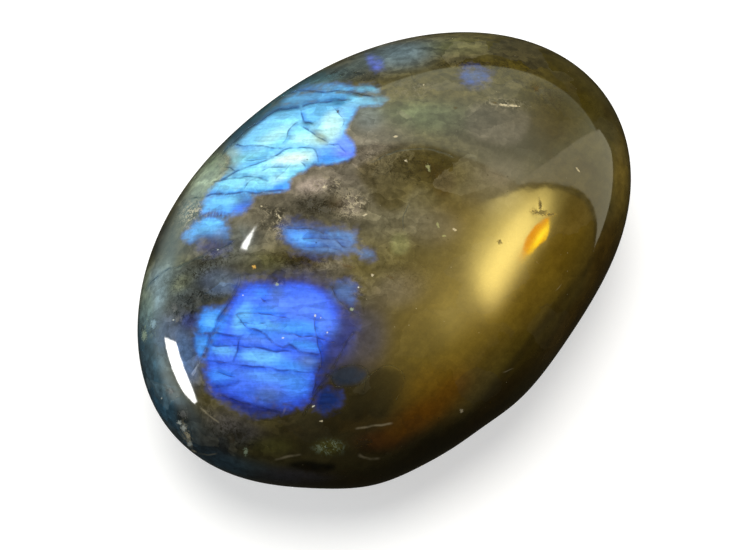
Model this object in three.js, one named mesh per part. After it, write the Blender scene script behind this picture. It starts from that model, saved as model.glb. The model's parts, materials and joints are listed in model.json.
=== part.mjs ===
// A palm stone of polished spectrolite, the dark labradorite with a blue flash: one loose pebble,
// tumbled and then polished by hand to a flattened egg. It is one natural piece, so it is one solid.
//
// Millimetres, +Z up. The long way of the stone lies along X. The origin is on the surface that the
// stone lies on, under the middle of its outline.

import * as THREE from "three";
import { mergeVertices } from "three/addons/utils/BufferGeometryUtils.js";

// Driving dimensions.
const LENGTH = 65;
const WIDTH = 45.6;
const HEIGHT = 25;
const GIRDLE_HEIGHT = 11; // of the widest outline, above the surface that the stone lies on
const SUMMIT_OFFSET = { x: 1.5, y: 1 }; // from the middle of the outline to the highest point
const RESTING_SHARE = 0.4; // of the outline's radius, worn flat on the underside
const CROWN_FULLNESS = 2.25; // a power: 2 is a round dome, and more is a squarer one
const BELLY_FULLNESS = 2;

// How the outline, seen from above, leaves a true ellipse. Each line is a wave round the outline:
// its count of lobes, how far they stand out as a share of the radius, and the angle in degrees,
// from +X towards +Y, at which one of them lies.
const OUTLINE_LOBES = [
  { count: 3, share: 0.0105, angle: 0.5 },
  { count: 4, share: 0.008, angle: -18 },
  { count: 5, share: 0.0058, angle: -27 },
  { count: 6, share: 0.0016, angle: 12 },
];

// A blunt corner of the outline and the flat next to it, left from the rough stone: the angle in
// degrees, the half-width in degrees, and how far it stands out or in as a share of the radius.
const OUTLINE_MARKS = [
  { angle: 222, spread: 11.7, share: 0.035 },
  { angle: 253, spread: 10.4, share: -0.02 },
];

// Broad, low swells and hollows that hand polishing leaves: the direction from the middle of the
// stone in degrees, round from +X and up from the girdle, the height, and the half-width in degrees.
const SWELLS = [
  { round: 150, up: 52, height: 0.22, spread: 26 },
  { round: -35, up: 40, height: 0.18, spread: 24 },
  { round: 62, up: 44, height: -0.16, spread: 22 },
  { round: 215, up: -32, height: 0.35, spread: 30 },
  { round: 15, up: -36, height: -0.3, spread: 28 },
];

// The surface starts as a box with this many squares along each edge, blown up to a ball.
const SQUARES_PER_EDGE = 24;

const radians = THREE.MathUtils.degToRad;

const SPECTROLITE = new THREE.MeshStandardMaterial({
  color: 0x4b4838,
  roughness: 0.1,
  metalness: 0,
});

// A smooth bump of height 1 at no distance, which fades away past its half-width.
function bump(distance, halfWidth) {
  return Math.exp(-((distance / halfWidth) ** 2));
}

// The radius of the outline at an angle in radians, seen from above.
function outlineRadius(angle) {
  const ellipse = 1 / Math.hypot((2 * Math.cos(angle)) / LENGTH, (2 * Math.sin(angle)) / WIDTH);
  let share = 1;
  for (const lobe of OUTLINE_LOBES) {
    share += lobe.share * Math.cos(lobe.count * (angle - radians(lobe.angle)));
  }
  for (const mark of OUTLINE_MARKS) {
    const turn = THREE.MathUtils.euclideanModulo(angle - radians(mark.angle) + Math.PI, 2 * Math.PI);
    share += mark.share * bump(turn - Math.PI, radians(mark.spread));
  }
  return ellipse * share;
}

// A point of the crown's profile: its share of the outline's radius, and its share of the way up
// from the girdle to the summit. Latitude runs from 0 at the girdle to a right angle at the summit.
function crownProfile(latitude) {
  const power = 2 / CROWN_FULLNESS;
  return {
    reach: Math.max(0, Math.cos(latitude)) ** power,
    rise: Math.sin(latitude) ** power,
  };
}

// The same for the belly, down from the girdle. The last stretch, round the pole, lies on one level:
// it is the patch that the stone rests on, and the belly curves away from it without an edge.
function bellyProfile(latitude) {
  const fromPole = 1 - latitude / (Math.PI / 2);
  const patch = 0.8 * RESTING_SHARE;
  if (fromPole <= patch) {
    return { reach: (RESTING_SHARE * fromPole) / patch, drop: 1 };
  }
  const turn = ((fromPole - patch) / (1 - patch)) * (Math.PI / 2);
  const power = 2 / BELLY_FULLNESS;
  return {
    reach: RESTING_SHARE + (1 - RESTING_SHARE) * Math.sin(turn) ** power,
    drop: Math.max(0, Math.cos(turn)) ** power,
  };
}

// How far the swells and hollows move the surface out in a direction from the middle.
function swellHeight(direction) {
  const centre = new THREE.Vector3();
  let height = 0;
  for (const swell of SWELLS) {
    const round = radians(swell.round);
    const up = radians(swell.up);
    centre.set(Math.cos(up) * Math.cos(round), Math.cos(up) * Math.sin(round), Math.sin(up));
    height += swell.height * bump(direction.angleTo(centre), radians(swell.spread));
  }
  return height;
}

// The point of the stone's surface that lies in a direction from its middle.
function surfacePoint(direction) {
  const angle = Math.atan2(direction.y, direction.x);
  const latitude = Math.asin(THREE.MathUtils.clamp(direction.z, -1, 1));
  const radius = outlineRadius(angle);
  const point = new THREE.Vector3();
  if (latitude >= 0) {
    const { reach, rise } = crownProfile(latitude);
    point.set(
      reach * radius * Math.cos(angle) + SUMMIT_OFFSET.x * rise * rise,
      reach * radius * Math.sin(angle) + SUMMIT_OFFSET.y * rise * rise,
      GIRDLE_HEIGHT + (HEIGHT - GIRDLE_HEIGHT) * rise,
    );
  } else {
    const { reach, drop } = bellyProfile(-latitude);
    point.set(
      reach * radius * Math.cos(angle),
      reach * radius * Math.sin(angle),
      GIRDLE_HEIGHT * (1 - drop),
    );
  }
  // The swells fade out towards the resting patch, which stays flat.
  const clearOfRest = THREE.MathUtils.smoothstep(point.z, 0, GIRDLE_HEIGHT / 2);
  return point.addScaledVector(direction, swellHeight(direction) * clearOfRest);
}

// A closed surface of near-square faces, with no crowded poles: each point of a box is turned into
// a direction, and the direction into a point of the stone.
function stoneGeometry() {
  const n = SQUARES_PER_EDGE;
  const box = new THREE.BoxGeometry(2, 2, 2, n, n, n);
  box.deleteAttribute("normal");
  box.deleteAttribute("uv");
  const geometry = mergeVertices(box);
  const position = geometry.getAttribute("position");
  const direction = new THREE.Vector3();
  const evenOut = (x) => Math.tan((x * Math.PI) / 4);
  for (let i = 0; i < position.count; i++) {
    direction.fromBufferAttribute(position, i);
    direction.set(evenOut(direction.x), evenOut(direction.y), evenOut(direction.z)).normalize();
    const point = surfacePoint(direction);
    position.setXYZ(i, point.x, point.y, point.z);
  }
  return geometry;
}

// Brings the geometry to its exact size, with the origin under the middle of its box.
function broughtToSize(geometry) {
  geometry.computeBoundingBox();
  const size = geometry.boundingBox.getSize(new THREE.Vector3());
  geometry.scale(LENGTH / size.x, WIDTH / size.y, HEIGHT / size.z);
  geometry.computeBoundingBox();
  const middle = geometry.boundingBox.getCenter(new THREE.Vector3());
  geometry.translate(-middle.x, -middle.y, -geometry.boundingBox.min.z);
  geometry.computeVertexNormals();
  return geometry;
}

const pebble = new THREE.Mesh(broughtToSize(stoneGeometry()), SPECTROLITE);
pebble.name = "pebble";

const part = new THREE.Group();
part.add(pebble);

export default part;
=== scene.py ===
"""A palm stone of polished spectrolite, the dark labradorite that flashes blue.

The stone is one natural piece. Its solid gives the form, which is made fine and smooth here. The
colours lie in the crystal, under the polish: a smoky olive and brown body, patches of blue and cyan
flash where the thin layers of the crystal face the eye, and the fine cracks and flecks between them.
The flash is a sheen of light off those layers; here it is painted as fixed colour, seen from every side.

The places of the markings are in millimetres in the plane of the crystal's layers, u to the right and
v up. Lengths that end up in Blender are in metres.
"""

import json
import logging
import math
from dataclasses import dataclass
from enum import Enum
from typing import Any

import bpy
import numpy as np
from mathutils import Matrix, Vector

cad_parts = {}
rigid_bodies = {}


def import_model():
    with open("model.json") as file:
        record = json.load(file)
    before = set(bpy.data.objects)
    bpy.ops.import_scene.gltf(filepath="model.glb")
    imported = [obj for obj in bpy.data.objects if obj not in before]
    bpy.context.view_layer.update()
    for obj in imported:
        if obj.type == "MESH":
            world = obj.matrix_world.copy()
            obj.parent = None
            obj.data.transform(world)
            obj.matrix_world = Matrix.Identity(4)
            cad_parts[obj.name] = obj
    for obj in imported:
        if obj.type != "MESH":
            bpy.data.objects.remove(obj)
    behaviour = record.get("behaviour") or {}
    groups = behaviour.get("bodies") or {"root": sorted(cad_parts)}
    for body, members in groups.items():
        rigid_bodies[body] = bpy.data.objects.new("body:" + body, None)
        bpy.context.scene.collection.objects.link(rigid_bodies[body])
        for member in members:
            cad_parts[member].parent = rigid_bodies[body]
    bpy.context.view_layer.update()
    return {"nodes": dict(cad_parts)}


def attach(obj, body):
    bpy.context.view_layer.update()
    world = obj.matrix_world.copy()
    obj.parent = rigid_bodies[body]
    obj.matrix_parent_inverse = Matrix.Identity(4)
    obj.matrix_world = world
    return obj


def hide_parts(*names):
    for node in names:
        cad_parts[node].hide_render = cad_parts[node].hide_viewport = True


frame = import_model()

LOG = logging.getLogger("palm_stone")

MILLIMETRE = 0.001

Pair = tuple[float, float]
Place = tuple[float, float]
Triple = tuple[float, float, float]
Colour = tuple[float, float, float, float]
Socket = bpy.types.NodeSocket

WHITE = (1.0, 1.0, 1.0, 1.0)

# The span of an even random number, and the span in which most of a cloudy noise lies.
EVEN = (0.0, 1.0)
CLOUDY = (0.3, 0.7)

# How wide a cloud of colour is, as a share of its half-lengths, and how steeply it ends.
CLOUD_WIDTH = 0.7
CLOUD_FALL = 1.5


def linear(code: str) -> Colour:
    """Turn a screen colour into the linear colour that a shader reads.

    Args:
        code: The colour as six hexadecimal digits after a hash.

    Returns:
        Red, green, blue and full cover, from 0 to 1.
    """
    shown = [int(code[i:i + 2], 16) / 255 for i in (1, 3, 5)]
    red, green, blue = (c / 12.92 if c <= 0.04045 else ((c + 0.055) / 1.055) ** 2.4 for c in shown)
    return red, green, blue, 1.0


def smooth_step(values: np.ndarray, low: float, high: float) -> np.ndarray:
    """Rise smoothly from 0 at low to 1 at high.

    Args:
        values: What is compared with the two limits.
        low: The limit below which the result is 0.
        high: The limit above which the result is 1.

    Returns:
        An array like values, from 0 to 1.
    """
    share = np.clip((values - low) / (high - low), 0, 1)
    return share * share * (3 - 2 * share)


def direction(azimuth: float, elevation: float) -> Vector:
    """Give the unit vector of a direction.

    Args:
        azimuth: Degrees round +Z from +X towards +Y.
        elevation: Degrees up from the floor.

    Returns:
        The vector.
    """
    turn, rise = math.radians(azimuth), math.radians(elevation)
    return Vector((math.cos(rise) * math.cos(turn), math.cos(rise) * math.sin(turn), math.sin(rise)))


def read_vertices(mesh: bpy.types.Mesh) -> tuple[np.ndarray, np.ndarray]:
    """Read where the vertices of a mesh lie and which way they face.

    Args:
        mesh: The mesh.

    Returns:
        Rows of x, y and z in metres, and rows of unit normals.
    """
    points = np.empty(len(mesh.vertices) * 3)
    normals = np.empty(len(mesh.vertices) * 3)
    mesh.vertices.foreach_get("co", points)
    mesh.vertices.foreach_get("normal", normals)
    return points.reshape(-1, 3), normals.reshape(-1, 3)


class Pigment(Enum):
    """The colours of the crystal, as they look in even white light. The blues and cyans also colour the
    flashes, a painted sheen.
    """

    FROST = "#f0f6ee"
    ICE = "#c0f3ec"
    PALE_CYAN = "#86d8f2"
    CYAN = "#6cbcee"
    SEA = "#6fb8b8"
    TEAL = "#31708f"
    DEEP_TEAL = "#254a54"
    SKY = "#70c0ff"
    AZURE = "#4a9aff"
    PERIWINKLE = "#6694ff"
    COBALT = "#4a77f8"
    ULTRAMARINE = "#3b60ee"
    VIOLET = "#6f7cf2"
    HAZY_BLUE = "#5874a8"
    HARBOUR_BLUE = "#4a86b4"
    SMOKY_BLUE = "#46587a"
    DULL_BLUE = "#6a90c2"
    INDIGO = "#2a3a8c"
    NAVY = "#182e64"
    DUSK = "#4a4850"
    INK = "#232d3c"
    SEA_SLATE = "#456474"
    OLIVE = "#4f4828"
    GOLDEN_OLIVE = "#54430f"
    DEEP_OLIVE = "#413709"
    MOSS = "#4f4e22"
    GREEN_VEIL = "#5a6a4c"
    PALE_GREEN = "#808254"
    SAGE = "#8b9a80"
    TAUPE = "#6a6453"
    GREY_TAUPE = "#625e4c"
    PINK_BEIGE = "#94877a"
    LILAC_GREY = "#6c6456"
    SMOKE = "#37342a"
    UMBER = "#3c2e10"
    AMBER = "#6c4e0c"
    RUST = "#5c3806"
    RED_BROWN = "#402612"
    STRAW = "#8a7430"
    PEAT = "#1f1b0e"
    SLATE = "#4c5a5e"
    BLUE_SLATE = "#52678c"
    TEAL_SLATE = "#30566a"
    NIGHT_SLATE = "#262e36"
    STEEL = "#7c96a2"
    CREAM = "#c2b694"
    CHALK = "#d0d4c8"
    GOLD = "#d8a848"
    BLACK = "#0b0c09"

    def colour(self) -> Colour:
        """Give the linear colour."""
        return linear(self.value)


class Side(Enum):
    """The half of the stone on which a marking shows."""

    FACE = 1
    REVERSE = -1


@dataclass(frozen=True)
class Patch:
    """A patch of colour with an outline: how soft its edge is, in millimetres, and how full it is."""

    pigment: Pigment
    outline: tuple[Place, ...]
    softness: float
    strength: float = 1.0


@dataclass(frozen=True)
class Zone:
    """A cloud of colour: its middle, its half-lengths, how full it is, its turn and how firm its edge is.

    The turn is in degrees. An edge of firmness 1 is soft, and a firmer one falls off in a shorter way.
    """

    pigment: Pigment
    middle: Place
    reach: Pair
    strength: float
    turn: float = 0.0
    firmness: float = 1.0


@dataclass(frozen=True)
class Crack:
    """A fine break under the polish. A pale one has healed and looks whitish."""

    points: tuple[Place, ...]
    width: float
    pale: bool = False


@dataclass(frozen=True)
class Fleck:
    """A grain caught in the crystal: its middle, its half-lengths and its turn in degrees."""

    pigment: Pigment
    middle: Place
    reach: Pair
    turn: float = 0.0


@dataclass(frozen=True)
class Pit:
    """A shallow dent that the polish left: its middle, its radius and its depth."""

    middle: Place
    radius: float
    depth: float


@dataclass(frozen=True)
class Markings:
    """All that shows on one side of the stone."""

    flashes: tuple[Patch, ...]
    gleams: tuple[Zone, ...]
    clouds: tuple[Zone, ...]
    plates: tuple[Patch, ...]
    grit: tuple[Zone, ...]
    cracks: tuple[Crack, ...]
    flecks: tuple[Fleck, ...]
    pits: tuple[Pit, ...]


def flecks(pigment: Pigment, *rows: tuple[float, ...]) -> tuple[Fleck, ...]:
    """Set several grains of one pigment.

    Args:
        pigment: What they are.
        rows: For each, u and v of its middle, its two half-lengths, and its turn where it has one.

    Returns:
        The grains.
    """
    return tuple(Fleck(pigment, (u, v), (length, width), *turn) for u, v, length, width, *turn in rows)


# The large light blue flash, and the slivers beside it. Their flash is painted sheen: light off the inner
# layers, laid down as fixed colour.
UPPER_FLASH = (
    Patch(Pigment.CYAN, (
        (-19.9, 6.9), (-18.7, 8.4), (-17.9, 9.6), (-17.5, 10.8), (-18.3, 12.0), (-17.6, 13.6),
        (-16.2, 15.0), (-14.4, 16.1), (-12.6, 17.0), (-10.2, 17.4), (-8.0, 17.5), (-5.2, 17.5),
        (-3.2, 17.3), (-3.5, 16.3), (-3.9, 15.4), (-4.3, 14.6), (-4.7, 13.6), (-4.0, 12.8), (-3.5, 11.7),
        (-4.0, 10.8), (-5.6, 10.3), (-7.4, 10.0), (-8.2, 10.2), (-9.1, 9.4), (-10.6, 8.6), (-10.9, 7.5),
        (-11.8, 7.0), (-16.0, 6.8),
    ), 0.3),
    Patch(Pigment.CYAN, (
        (-4.0, 17.8), (-2.4, 17.8), (-0.8, 17.5), (-0.7, 16.9), (-2.4, 16.8), (-4.0, 16.7),
    ), 0.35, 0.8),
    Patch(Pigment.CYAN, (
        (-12.0, 17.2), (-11.0, 18.3), (-7.0, 18.5), (-3.6, 18.1), (-3.4, 17.6), (-7.0, 17.2),
    ), 0.35, 0.95),
    Patch(Pigment.CYAN, (
        (-10.7, 18.6), (-9.4, 19.1), (-7.6, 19.3), (-5.6, 19.3), (-4.2, 19.1), (-3.8, 18.6), (-5.2, 18.5),
        (-8.4, 18.6),
    ), 0.5, 0.9),
    Patch(Pigment.PALE_CYAN, (
        (-3.4, 18.4), (-2.9, 19.2), (-1.2, 18.9), (-1.1, 18.4), (-2.0, 18.3),
    ), 0.5, 0.6),
    Patch(Pigment.PALE_CYAN, ((-1.4, 17.8), (-0.2, 17.8), (0.1, 17.4), (-0.8, 17.3)), 0.4, 0.3),
)

LEFT_FLASHES = (
    Patch(Pigment.SKY, (
        (-20.3, 6.2), (-19.4, 6.9), (-17.0, 6.9), (-15.2, 6.9), (-14.9, 6.1), (-15.9, 4.9), (-17.6, 4.4),
        (-18.6, 4.9), (-20.5, 4.7),
    ), 0.5),
    Patch(Pigment.SKY, (
        (-22.6, 2.1), (-21.6, 3.2), (-20.5, 4.1), (-19.2, 4.3), (-18.1, 3.9), (-17.6, 2.6), (-17.4, 1.7),
        (-18.2, 1.3), (-19.6, 1.5), (-20.8, 1.6), (-21.8, 1.5),
    ), 0.5),
)

MIDDLE_FLASHES = (
    Patch(Pigment.INDIGO, (
        (-20.6, 1.6), (-18.2, 1.6), (-17.6, 0.8), (-19.0, 0.2), (-20.6, 0.6),
    ), 0.8, 0.35),
    Patch(Pigment.SMOKY_BLUE, (
        (-11.4, 3.2), (-10.2, 3.6), (-8.2, 3.0), (-6.0, 2.8), (-3.9, 2.5), (-3.5, 1.2), (-3.9, 0.3),
        (-6.6, 0.0), (-9.4, 0.3), (-11.0, 1.5), (-11.7, 2.6),
    ), 0.8, 0.6),
    Patch(Pigment.DULL_BLUE, (
        (-11.2, 2.4), (-9.8, 2.8), (-8.2, 2.5), (-6.9, 2.6), (-4.0, 2.3), (-3.6, 1.4), (-4.4, 0.8),
        (-6.4, 0.6), (-8.8, 0.8), (-10.2, 1.3),
    ), 0.5, 0.85),
    Patch(Pigment.DULL_BLUE, (
        (-3.2, 0.4), (-2.2, 0.5), (-1.5, 0.3), (-1.5, -0.3), (-2.6, -0.4),
    ), 0.45, 0.75),
)

LOWER_FLASH = (
    Patch(Pigment.INDIGO, (
        (-16.4, -3.0), (-13.0, -2.6), (-9.4, -2.3), (-6.4, -3.2), (-4.2, -5.4), (-4.4, -7.4),
        (-8.0, -8.0), (-15.6, -6.0),
    ), 0.9, 0.25),
    Patch(Pigment.HAZY_BLUE, (
        (-6.0, -3.4), (-4.9, -2.9), (-3.8, -3.1), (-3.5, -4.3), (-4.0, -5.6), (-5.1, -5.2), (-5.9, -4.3),
    ), 0.6, 0.9),
    Patch(Pigment.INDIGO, (
        (-5.4, -5.8), (-4.4, -6.4), (-3.6, -6.9), (-3.4, -7.7), (-4.2, -9.4), (-5.4, -11.2),
        (-6.6, -12.8), (-7.4, -14.0), (-7.4, -10.0),
    ), 0.6, 0.55),
    Patch(Pigment.INDIGO, (
        (-19.2, -14.2), (-16.4, -13.8), (-13.8, -15.6), (-10.8, -16.4), (-10.4, -16.8), (-12.4, -17.1),
        (-14.6, -17.3), (-16.4, -16.7), (-17.6, -16.0), (-18.8, -15.2),
    ), 0.6, 0.85),
    Patch(Pigment.NAVY, (
        (-7.2, -14.8), (-6.4, -14.6), (-5.3, -14.9), (-5.4, -16.1), (-6.8, -16.8), (-8.0, -16.4),
    ), 0.6),
    Patch(Pigment.ULTRAMARINE, (
        (-16.0, -3.5), (-12.4, -3.4), (-9.4, -3.4), (-7.5, -4.0), (-6.3, -5.3), (-5.6, -7.0),
        (-6.7, -9.8), (-7.5, -12.2), (-8.2, -14.6), (-9.3, -16.3), (-12.4, -16.0), (-16.0, -15.4),
        (-17.8, -15.0), (-19.2, -14.5), (-19.8, -13.4), (-19.8, -12.0), (-19.4, -9.6), (-17.8, -6.4),
        (-16.5, -4.4),
    ), 0.55),
    Patch(Pigment.COBALT, (
        (-15.6, -4.1), (-14.6, -3.6), (-13.4, -3.7), (-12.4, -4.1), (-11.2, -3.8), (-9.4, -3.8),
        (-8.0, -4.3), (-7.2, -5.0), (-6.8, -5.8), (-6.4, -6.8), (-6.6, -7.4), (-7.2, -8.8), (-7.7, -10.4),
        (-8.1, -12.0), (-8.4, -13.6), (-8.8, -15.0), (-9.4, -15.9), (-10.4, -16.1), (-12.4, -15.8),
        (-15.0, -15.4), (-16.4, -14.6), (-17.4, -14.4), (-18.7, -14.0), (-19.0, -13.4), (-19.3, -12.0),
        (-19.1, -9.6), (-17.6, -6.4), (-16.3, -4.7),
    ), 0.45),
    Patch(Pigment.AZURE, (
        (-20.7, -6.8), (-20.0, -6.0), (-17.9, -5.8), (-18.0, -7.0), (-18.7, -8.5), (-20.1, -8.6),
        (-20.8, -8.4),
    ), 0.5),
    Patch(Pigment.AZURE, (
        (-20.9, -8.7), (-19.1, -8.7), (-19.6, -10.0), (-20.4, -11.4), (-20.7, -10.9), (-20.9, -10.0),
    ), 0.45),
)

FAR_FLASHES = (
    Patch(Pigment.VIOLET, (
        (-2.2, 22.6), (-1.6, 22.7), (-0.6, 21.7), (-0.8, 21.1), (-1.7, 21.4),
    ), 0.6, 0.55),
    Patch(Pigment.HAZY_BLUE, (
        (8.7, 20.3), (9.6, 20.9), (10.8, 20.7), (11.0, 20.0), (9.4, 19.7),
    ), 1.0, 0.75),
)

# How the light of a flash changes from layer to layer inside it, painted as fixed colour.
FACE_GLEAMS = (
    # In the upper flash.
    Zone(Pigment.PALE_CYAN, (-12.0, 10.9), (5.4, 1.5), 0.6, 20),
    Zone(Pigment.PALE_CYAN, (-14.6, 8.6), (3.6, 1.0), 0.5, 8),
    Zone(Pigment.SEA_SLATE, (-16.6, 14.4), (3.6, 0.8), 0.85, 44),
    Zone(Pigment.TEAL, (-12.2, 16.6), (2.2, 0.6), 0.85, 20),
    Zone(Pigment.DEEP_TEAL, (-15.6, 15.1), (4.8, 0.7), 1.0, 42),
    Zone(Pigment.DEEP_TEAL, (-12.2, 17.7), (1.4, 0.5), 0.7, 30),
    Zone(Pigment.HARBOUR_BLUE, (-8.6, 18.0), (1.8, 0.4), 0.5, 2),
    Zone(Pigment.SLATE, (-3.4, 18.0), (1.0, 0.25), 0.8, -5),
    Zone(Pigment.TEAL, (-8.6, 17.2), (1.8, 0.25), 0.4, 4),
    Zone(Pigment.TEAL, (-5.4, 17.3), (1.0, 0.5), 0.7, -5),
    Zone(Pigment.SEA, (-3.6, 17.5), (1.4, 0.4), 0.3, -5),
    Zone(Pigment.SKY, (-1.5, 16.8), (0.8, 0.3), 0.8, -5),
    Zone(Pigment.PALE_CYAN, (-5.6, 18.7), (1.3, 0.3), 0.8, -5),
    Zone(Pigment.HARBOUR_BLUE, (-8.8, 18.9), (1.6, 0.6), 0.9),
    Zone(Pigment.PALE_CYAN, (-12.4, 13.7), (2.6, 1.2), 0.6, 30),
    Zone(Pigment.PALE_CYAN, (-9.2, 13.6), (1.5, 1.4), 0.8, -30),
    Zone(Pigment.ICE, (-6.2, 14.3), (1.1, 1.6), 0.8, -12, firmness=1.4),
    Zone(Pigment.ICE, (-8.2, 12.8), (2.2, 0.6), 0.6, -8),
    Zone(Pigment.TEAL, (-9.6, 16.4), (2.2, 0.5), 0.45, 4),
    Zone(Pigment.DEEP_TEAL, (-16.5, 13.6), (3.0, 0.45), 0.6, 44),
    Zone(Pigment.ICE, (-12.6, 13.4), (2.0, 0.6), 0.5, 32),
    Zone(Pigment.PALE_CYAN, (-2.4, 17.3), (1.6, 0.5), 0.8, -5),
    Zone(Pigment.PALE_CYAN, (-16.4, 7.6), (3.4, 0.4), 0.6, 2),
    Zone(Pigment.ICE, (-10.4, 10.6), (2.4, 0.75), 1.0, 10, firmness=1.4),
    Zone(Pigment.ICE, (-11.6, 9.5), (1.7, 0.7), 0.9, 20),
    Zone(Pigment.ICE, (-11.7, 8.6), (1.2, 0.6), 0.8, 30),
    Zone(Pigment.FROST, (-10.7, 10.6), (1.5, 0.45), 0.9, 8, firmness=1.4),
    Zone(Pigment.PALE_CYAN, (-12.6, 9.5), (2.6, 0.7), 0.8, 14),
    Zone(Pigment.PALE_CYAN, (-10.6, 9.2), (1.1, 0.7), 0.8, 30),
    Zone(Pigment.PALE_CYAN, (-15.8, 8.2), (2.4, 0.7), 0.9, 4),
    Zone(Pigment.SAGE, (-17.8, 11.2), (1.2, 1.2), 0.8, 40),
    Zone(Pigment.SAGE, (-17.9, 9.7), (0.9, 0.8), 0.8, 40),
    Zone(Pigment.SEA, (-15.6, 10.9), (1.6, 0.4), 0.6, 6),
    Zone(Pigment.AZURE, (-11.6, 7.7), (1.0, 0.5), 0.9),
    Zone(Pigment.SKY, (-9.0, 15.6), (0.9, 0.8), 0.7),
    Zone(Pigment.DEEP_TEAL, (-8.7, 14.8), (0.7, 0.2), 0.8, -5),
    Zone(Pigment.SAGE, (-7.5, 13.2), (0.9, 0.5), 0.8, -40),
    Zone(Pigment.AZURE, (-6.6, 11.2), (1.3, 0.9), 0.9, 20),
    Zone(Pigment.PERIWINKLE, (-4.6, 12.1), (1.2, 1.3), 1.0, firmness=1.5),
    Zone(Pigment.VIOLET, (-4.2, 11.2), (1.6, 0.4), 0.6),
    # In the flashes to its left and below it.
    Zone(Pigment.CYAN, (-19.5, 5.6), (0.8, 0.6), 0.7),
    Zone(Pigment.PALE_CYAN, (-17.2, 6.2), (0.8, 0.4), 0.8),
    Zone(Pigment.COBALT, (-16.0, 5.3), (1.3, 0.5), 0.8, 20),
    Zone(Pigment.SMOKY_BLUE, (-15.8, 6.1), (1.0, 0.7), 0.7),
    Zone(Pigment.COBALT, (-19.4, 4.5), (1.4, 0.2), 0.9),
    Zone(Pigment.CYAN, (-19.6, 3.4), (1.4, 0.6), 0.6, 20),
    Zone(Pigment.DULL_BLUE, (-17.9, 2.4), (0.9, 0.9), 0.9, -20),
    Zone(Pigment.AZURE, (-9.4, 1.9), (2.0, 0.9), 0.8, -12),
    Zone(Pigment.SKY, (-9.2, 1.7), (1.0, 0.35), 0.8, -12),
    Zone(Pigment.HAZY_BLUE, (-6.8, 1.7), (1.2, 0.5), 0.8, -12),
    Zone(Pigment.SKY, (-5.2, 2.2), (1.2, 0.25), 0.5, -8),
    Zone(Pigment.HAZY_BLUE, (-4.4, 1.2), (0.9, 0.5), 0.7, -8),
    Zone(Pigment.HAZY_BLUE, (-6.4, 2.7), (3.2, 0.25), 0.8, -10),
    # In the lower flash.
    Zone(Pigment.HAZY_BLUE, (-12.1, -4.2), (0.7, 0.9), 0.8, 10),
    Zone(Pigment.AZURE, (-13.8, -4.2), (0.7, 0.4), 0.6),
    Zone(Pigment.PERIWINKLE, (-12.2, -5.5), (1.0, 0.5), 0.8),
    Zone(Pigment.SKY, (-15.8, -6.8), (0.8, 1.4), 0.95, -28, firmness=1.5),
    Zone(Pigment.AZURE, (-13.4, -6.2), (1.6, 0.6), 0.7),
    Zone(Pigment.SKY, (-13.4, -7.6), (2.0, 0.4), 0.85, -8, firmness=1.5),
    Zone(Pigment.AZURE, (-9.6, -7.9), (2.0, 0.7), 0.9, -6, firmness=1.5),
    Zone(Pigment.ULTRAMARINE, (-10.2, -5.0), (3.0, 0.9), 0.4),
    Zone(Pigment.AZURE, (-9.0, -9.8), (1.5, 0.4), 0.9, -12, firmness=1.5),
    Zone(Pigment.SKY, (-19.3, -7.0), (0.8, 0.8), 0.5),
    Zone(Pigment.SKY, (-20.4, -9.8), (0.6, 0.9), 0.4),
    Zone(Pigment.AZURE, (-13.8, -8.3), (2.2, 0.9), 0.5, -8),
    Zone(Pigment.INDIGO, (-6.2, -10.4), (0.7, 2.0), 0.6, -12),
    Zone(Pigment.INDIGO, (-18.8, -14.4), (2.0, 0.6), 0.5, -24),
    Zone(Pigment.PERIWINKLE, (-9.6, -5.4), (2.6, 1.2), 0.35),
    Zone(Pigment.INDIGO, (-5.0, -8.4), (0.9, 2.8), 0.6, -20),
    Zone(Pigment.AZURE, (-21.4, -7.6), (0.6, 1.2), 0.7),
    Zone(Pigment.PERIWINKLE, (-6.5, -7.8), (1.1, 1.1), 0.5),
    Zone(Pigment.PERIWINKLE, (-14.2, -9.3), (1.6, 0.35), 0.7, -6),
    Zone(Pigment.SKY, (-17.9, -10.4), (1.2, 0.4), 0.85, -4, firmness=1.5),
    Zone(Pigment.SKY, (-13.7, -11.1), (2.2, 0.65), 0.85, -6, firmness=1.5),
    Zone(Pigment.AZURE, (-10.6, -12.0), (1.8, 0.5), 0.8, -8),
    Zone(Pigment.HAZY_BLUE, (-8.5, -11.5), (1.1, 0.7), 0.8, -10),
    Zone(Pigment.AZURE, (-18.3, -13.1), (1.3, 0.6), 0.7),
    Zone(Pigment.SKY, (-12.8, -13.2), (2.4, 0.6), 0.4, -6),
    Zone(Pigment.AZURE, (-9.9, -14.0), (1.3, 1.1), 0.6, -10),
    Zone(Pigment.HAZY_BLUE, (-13.0, -15.2), (1.4, 0.8), 0.75),
    Zone(Pigment.ULTRAMARINE, (-9.4, -16.3), (1.2, 0.8), 0.9, 20),
    Zone(Pigment.NAVY, (-7.0, -12.2), (0.7, 1.6), 0.6, -10),
)

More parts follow.
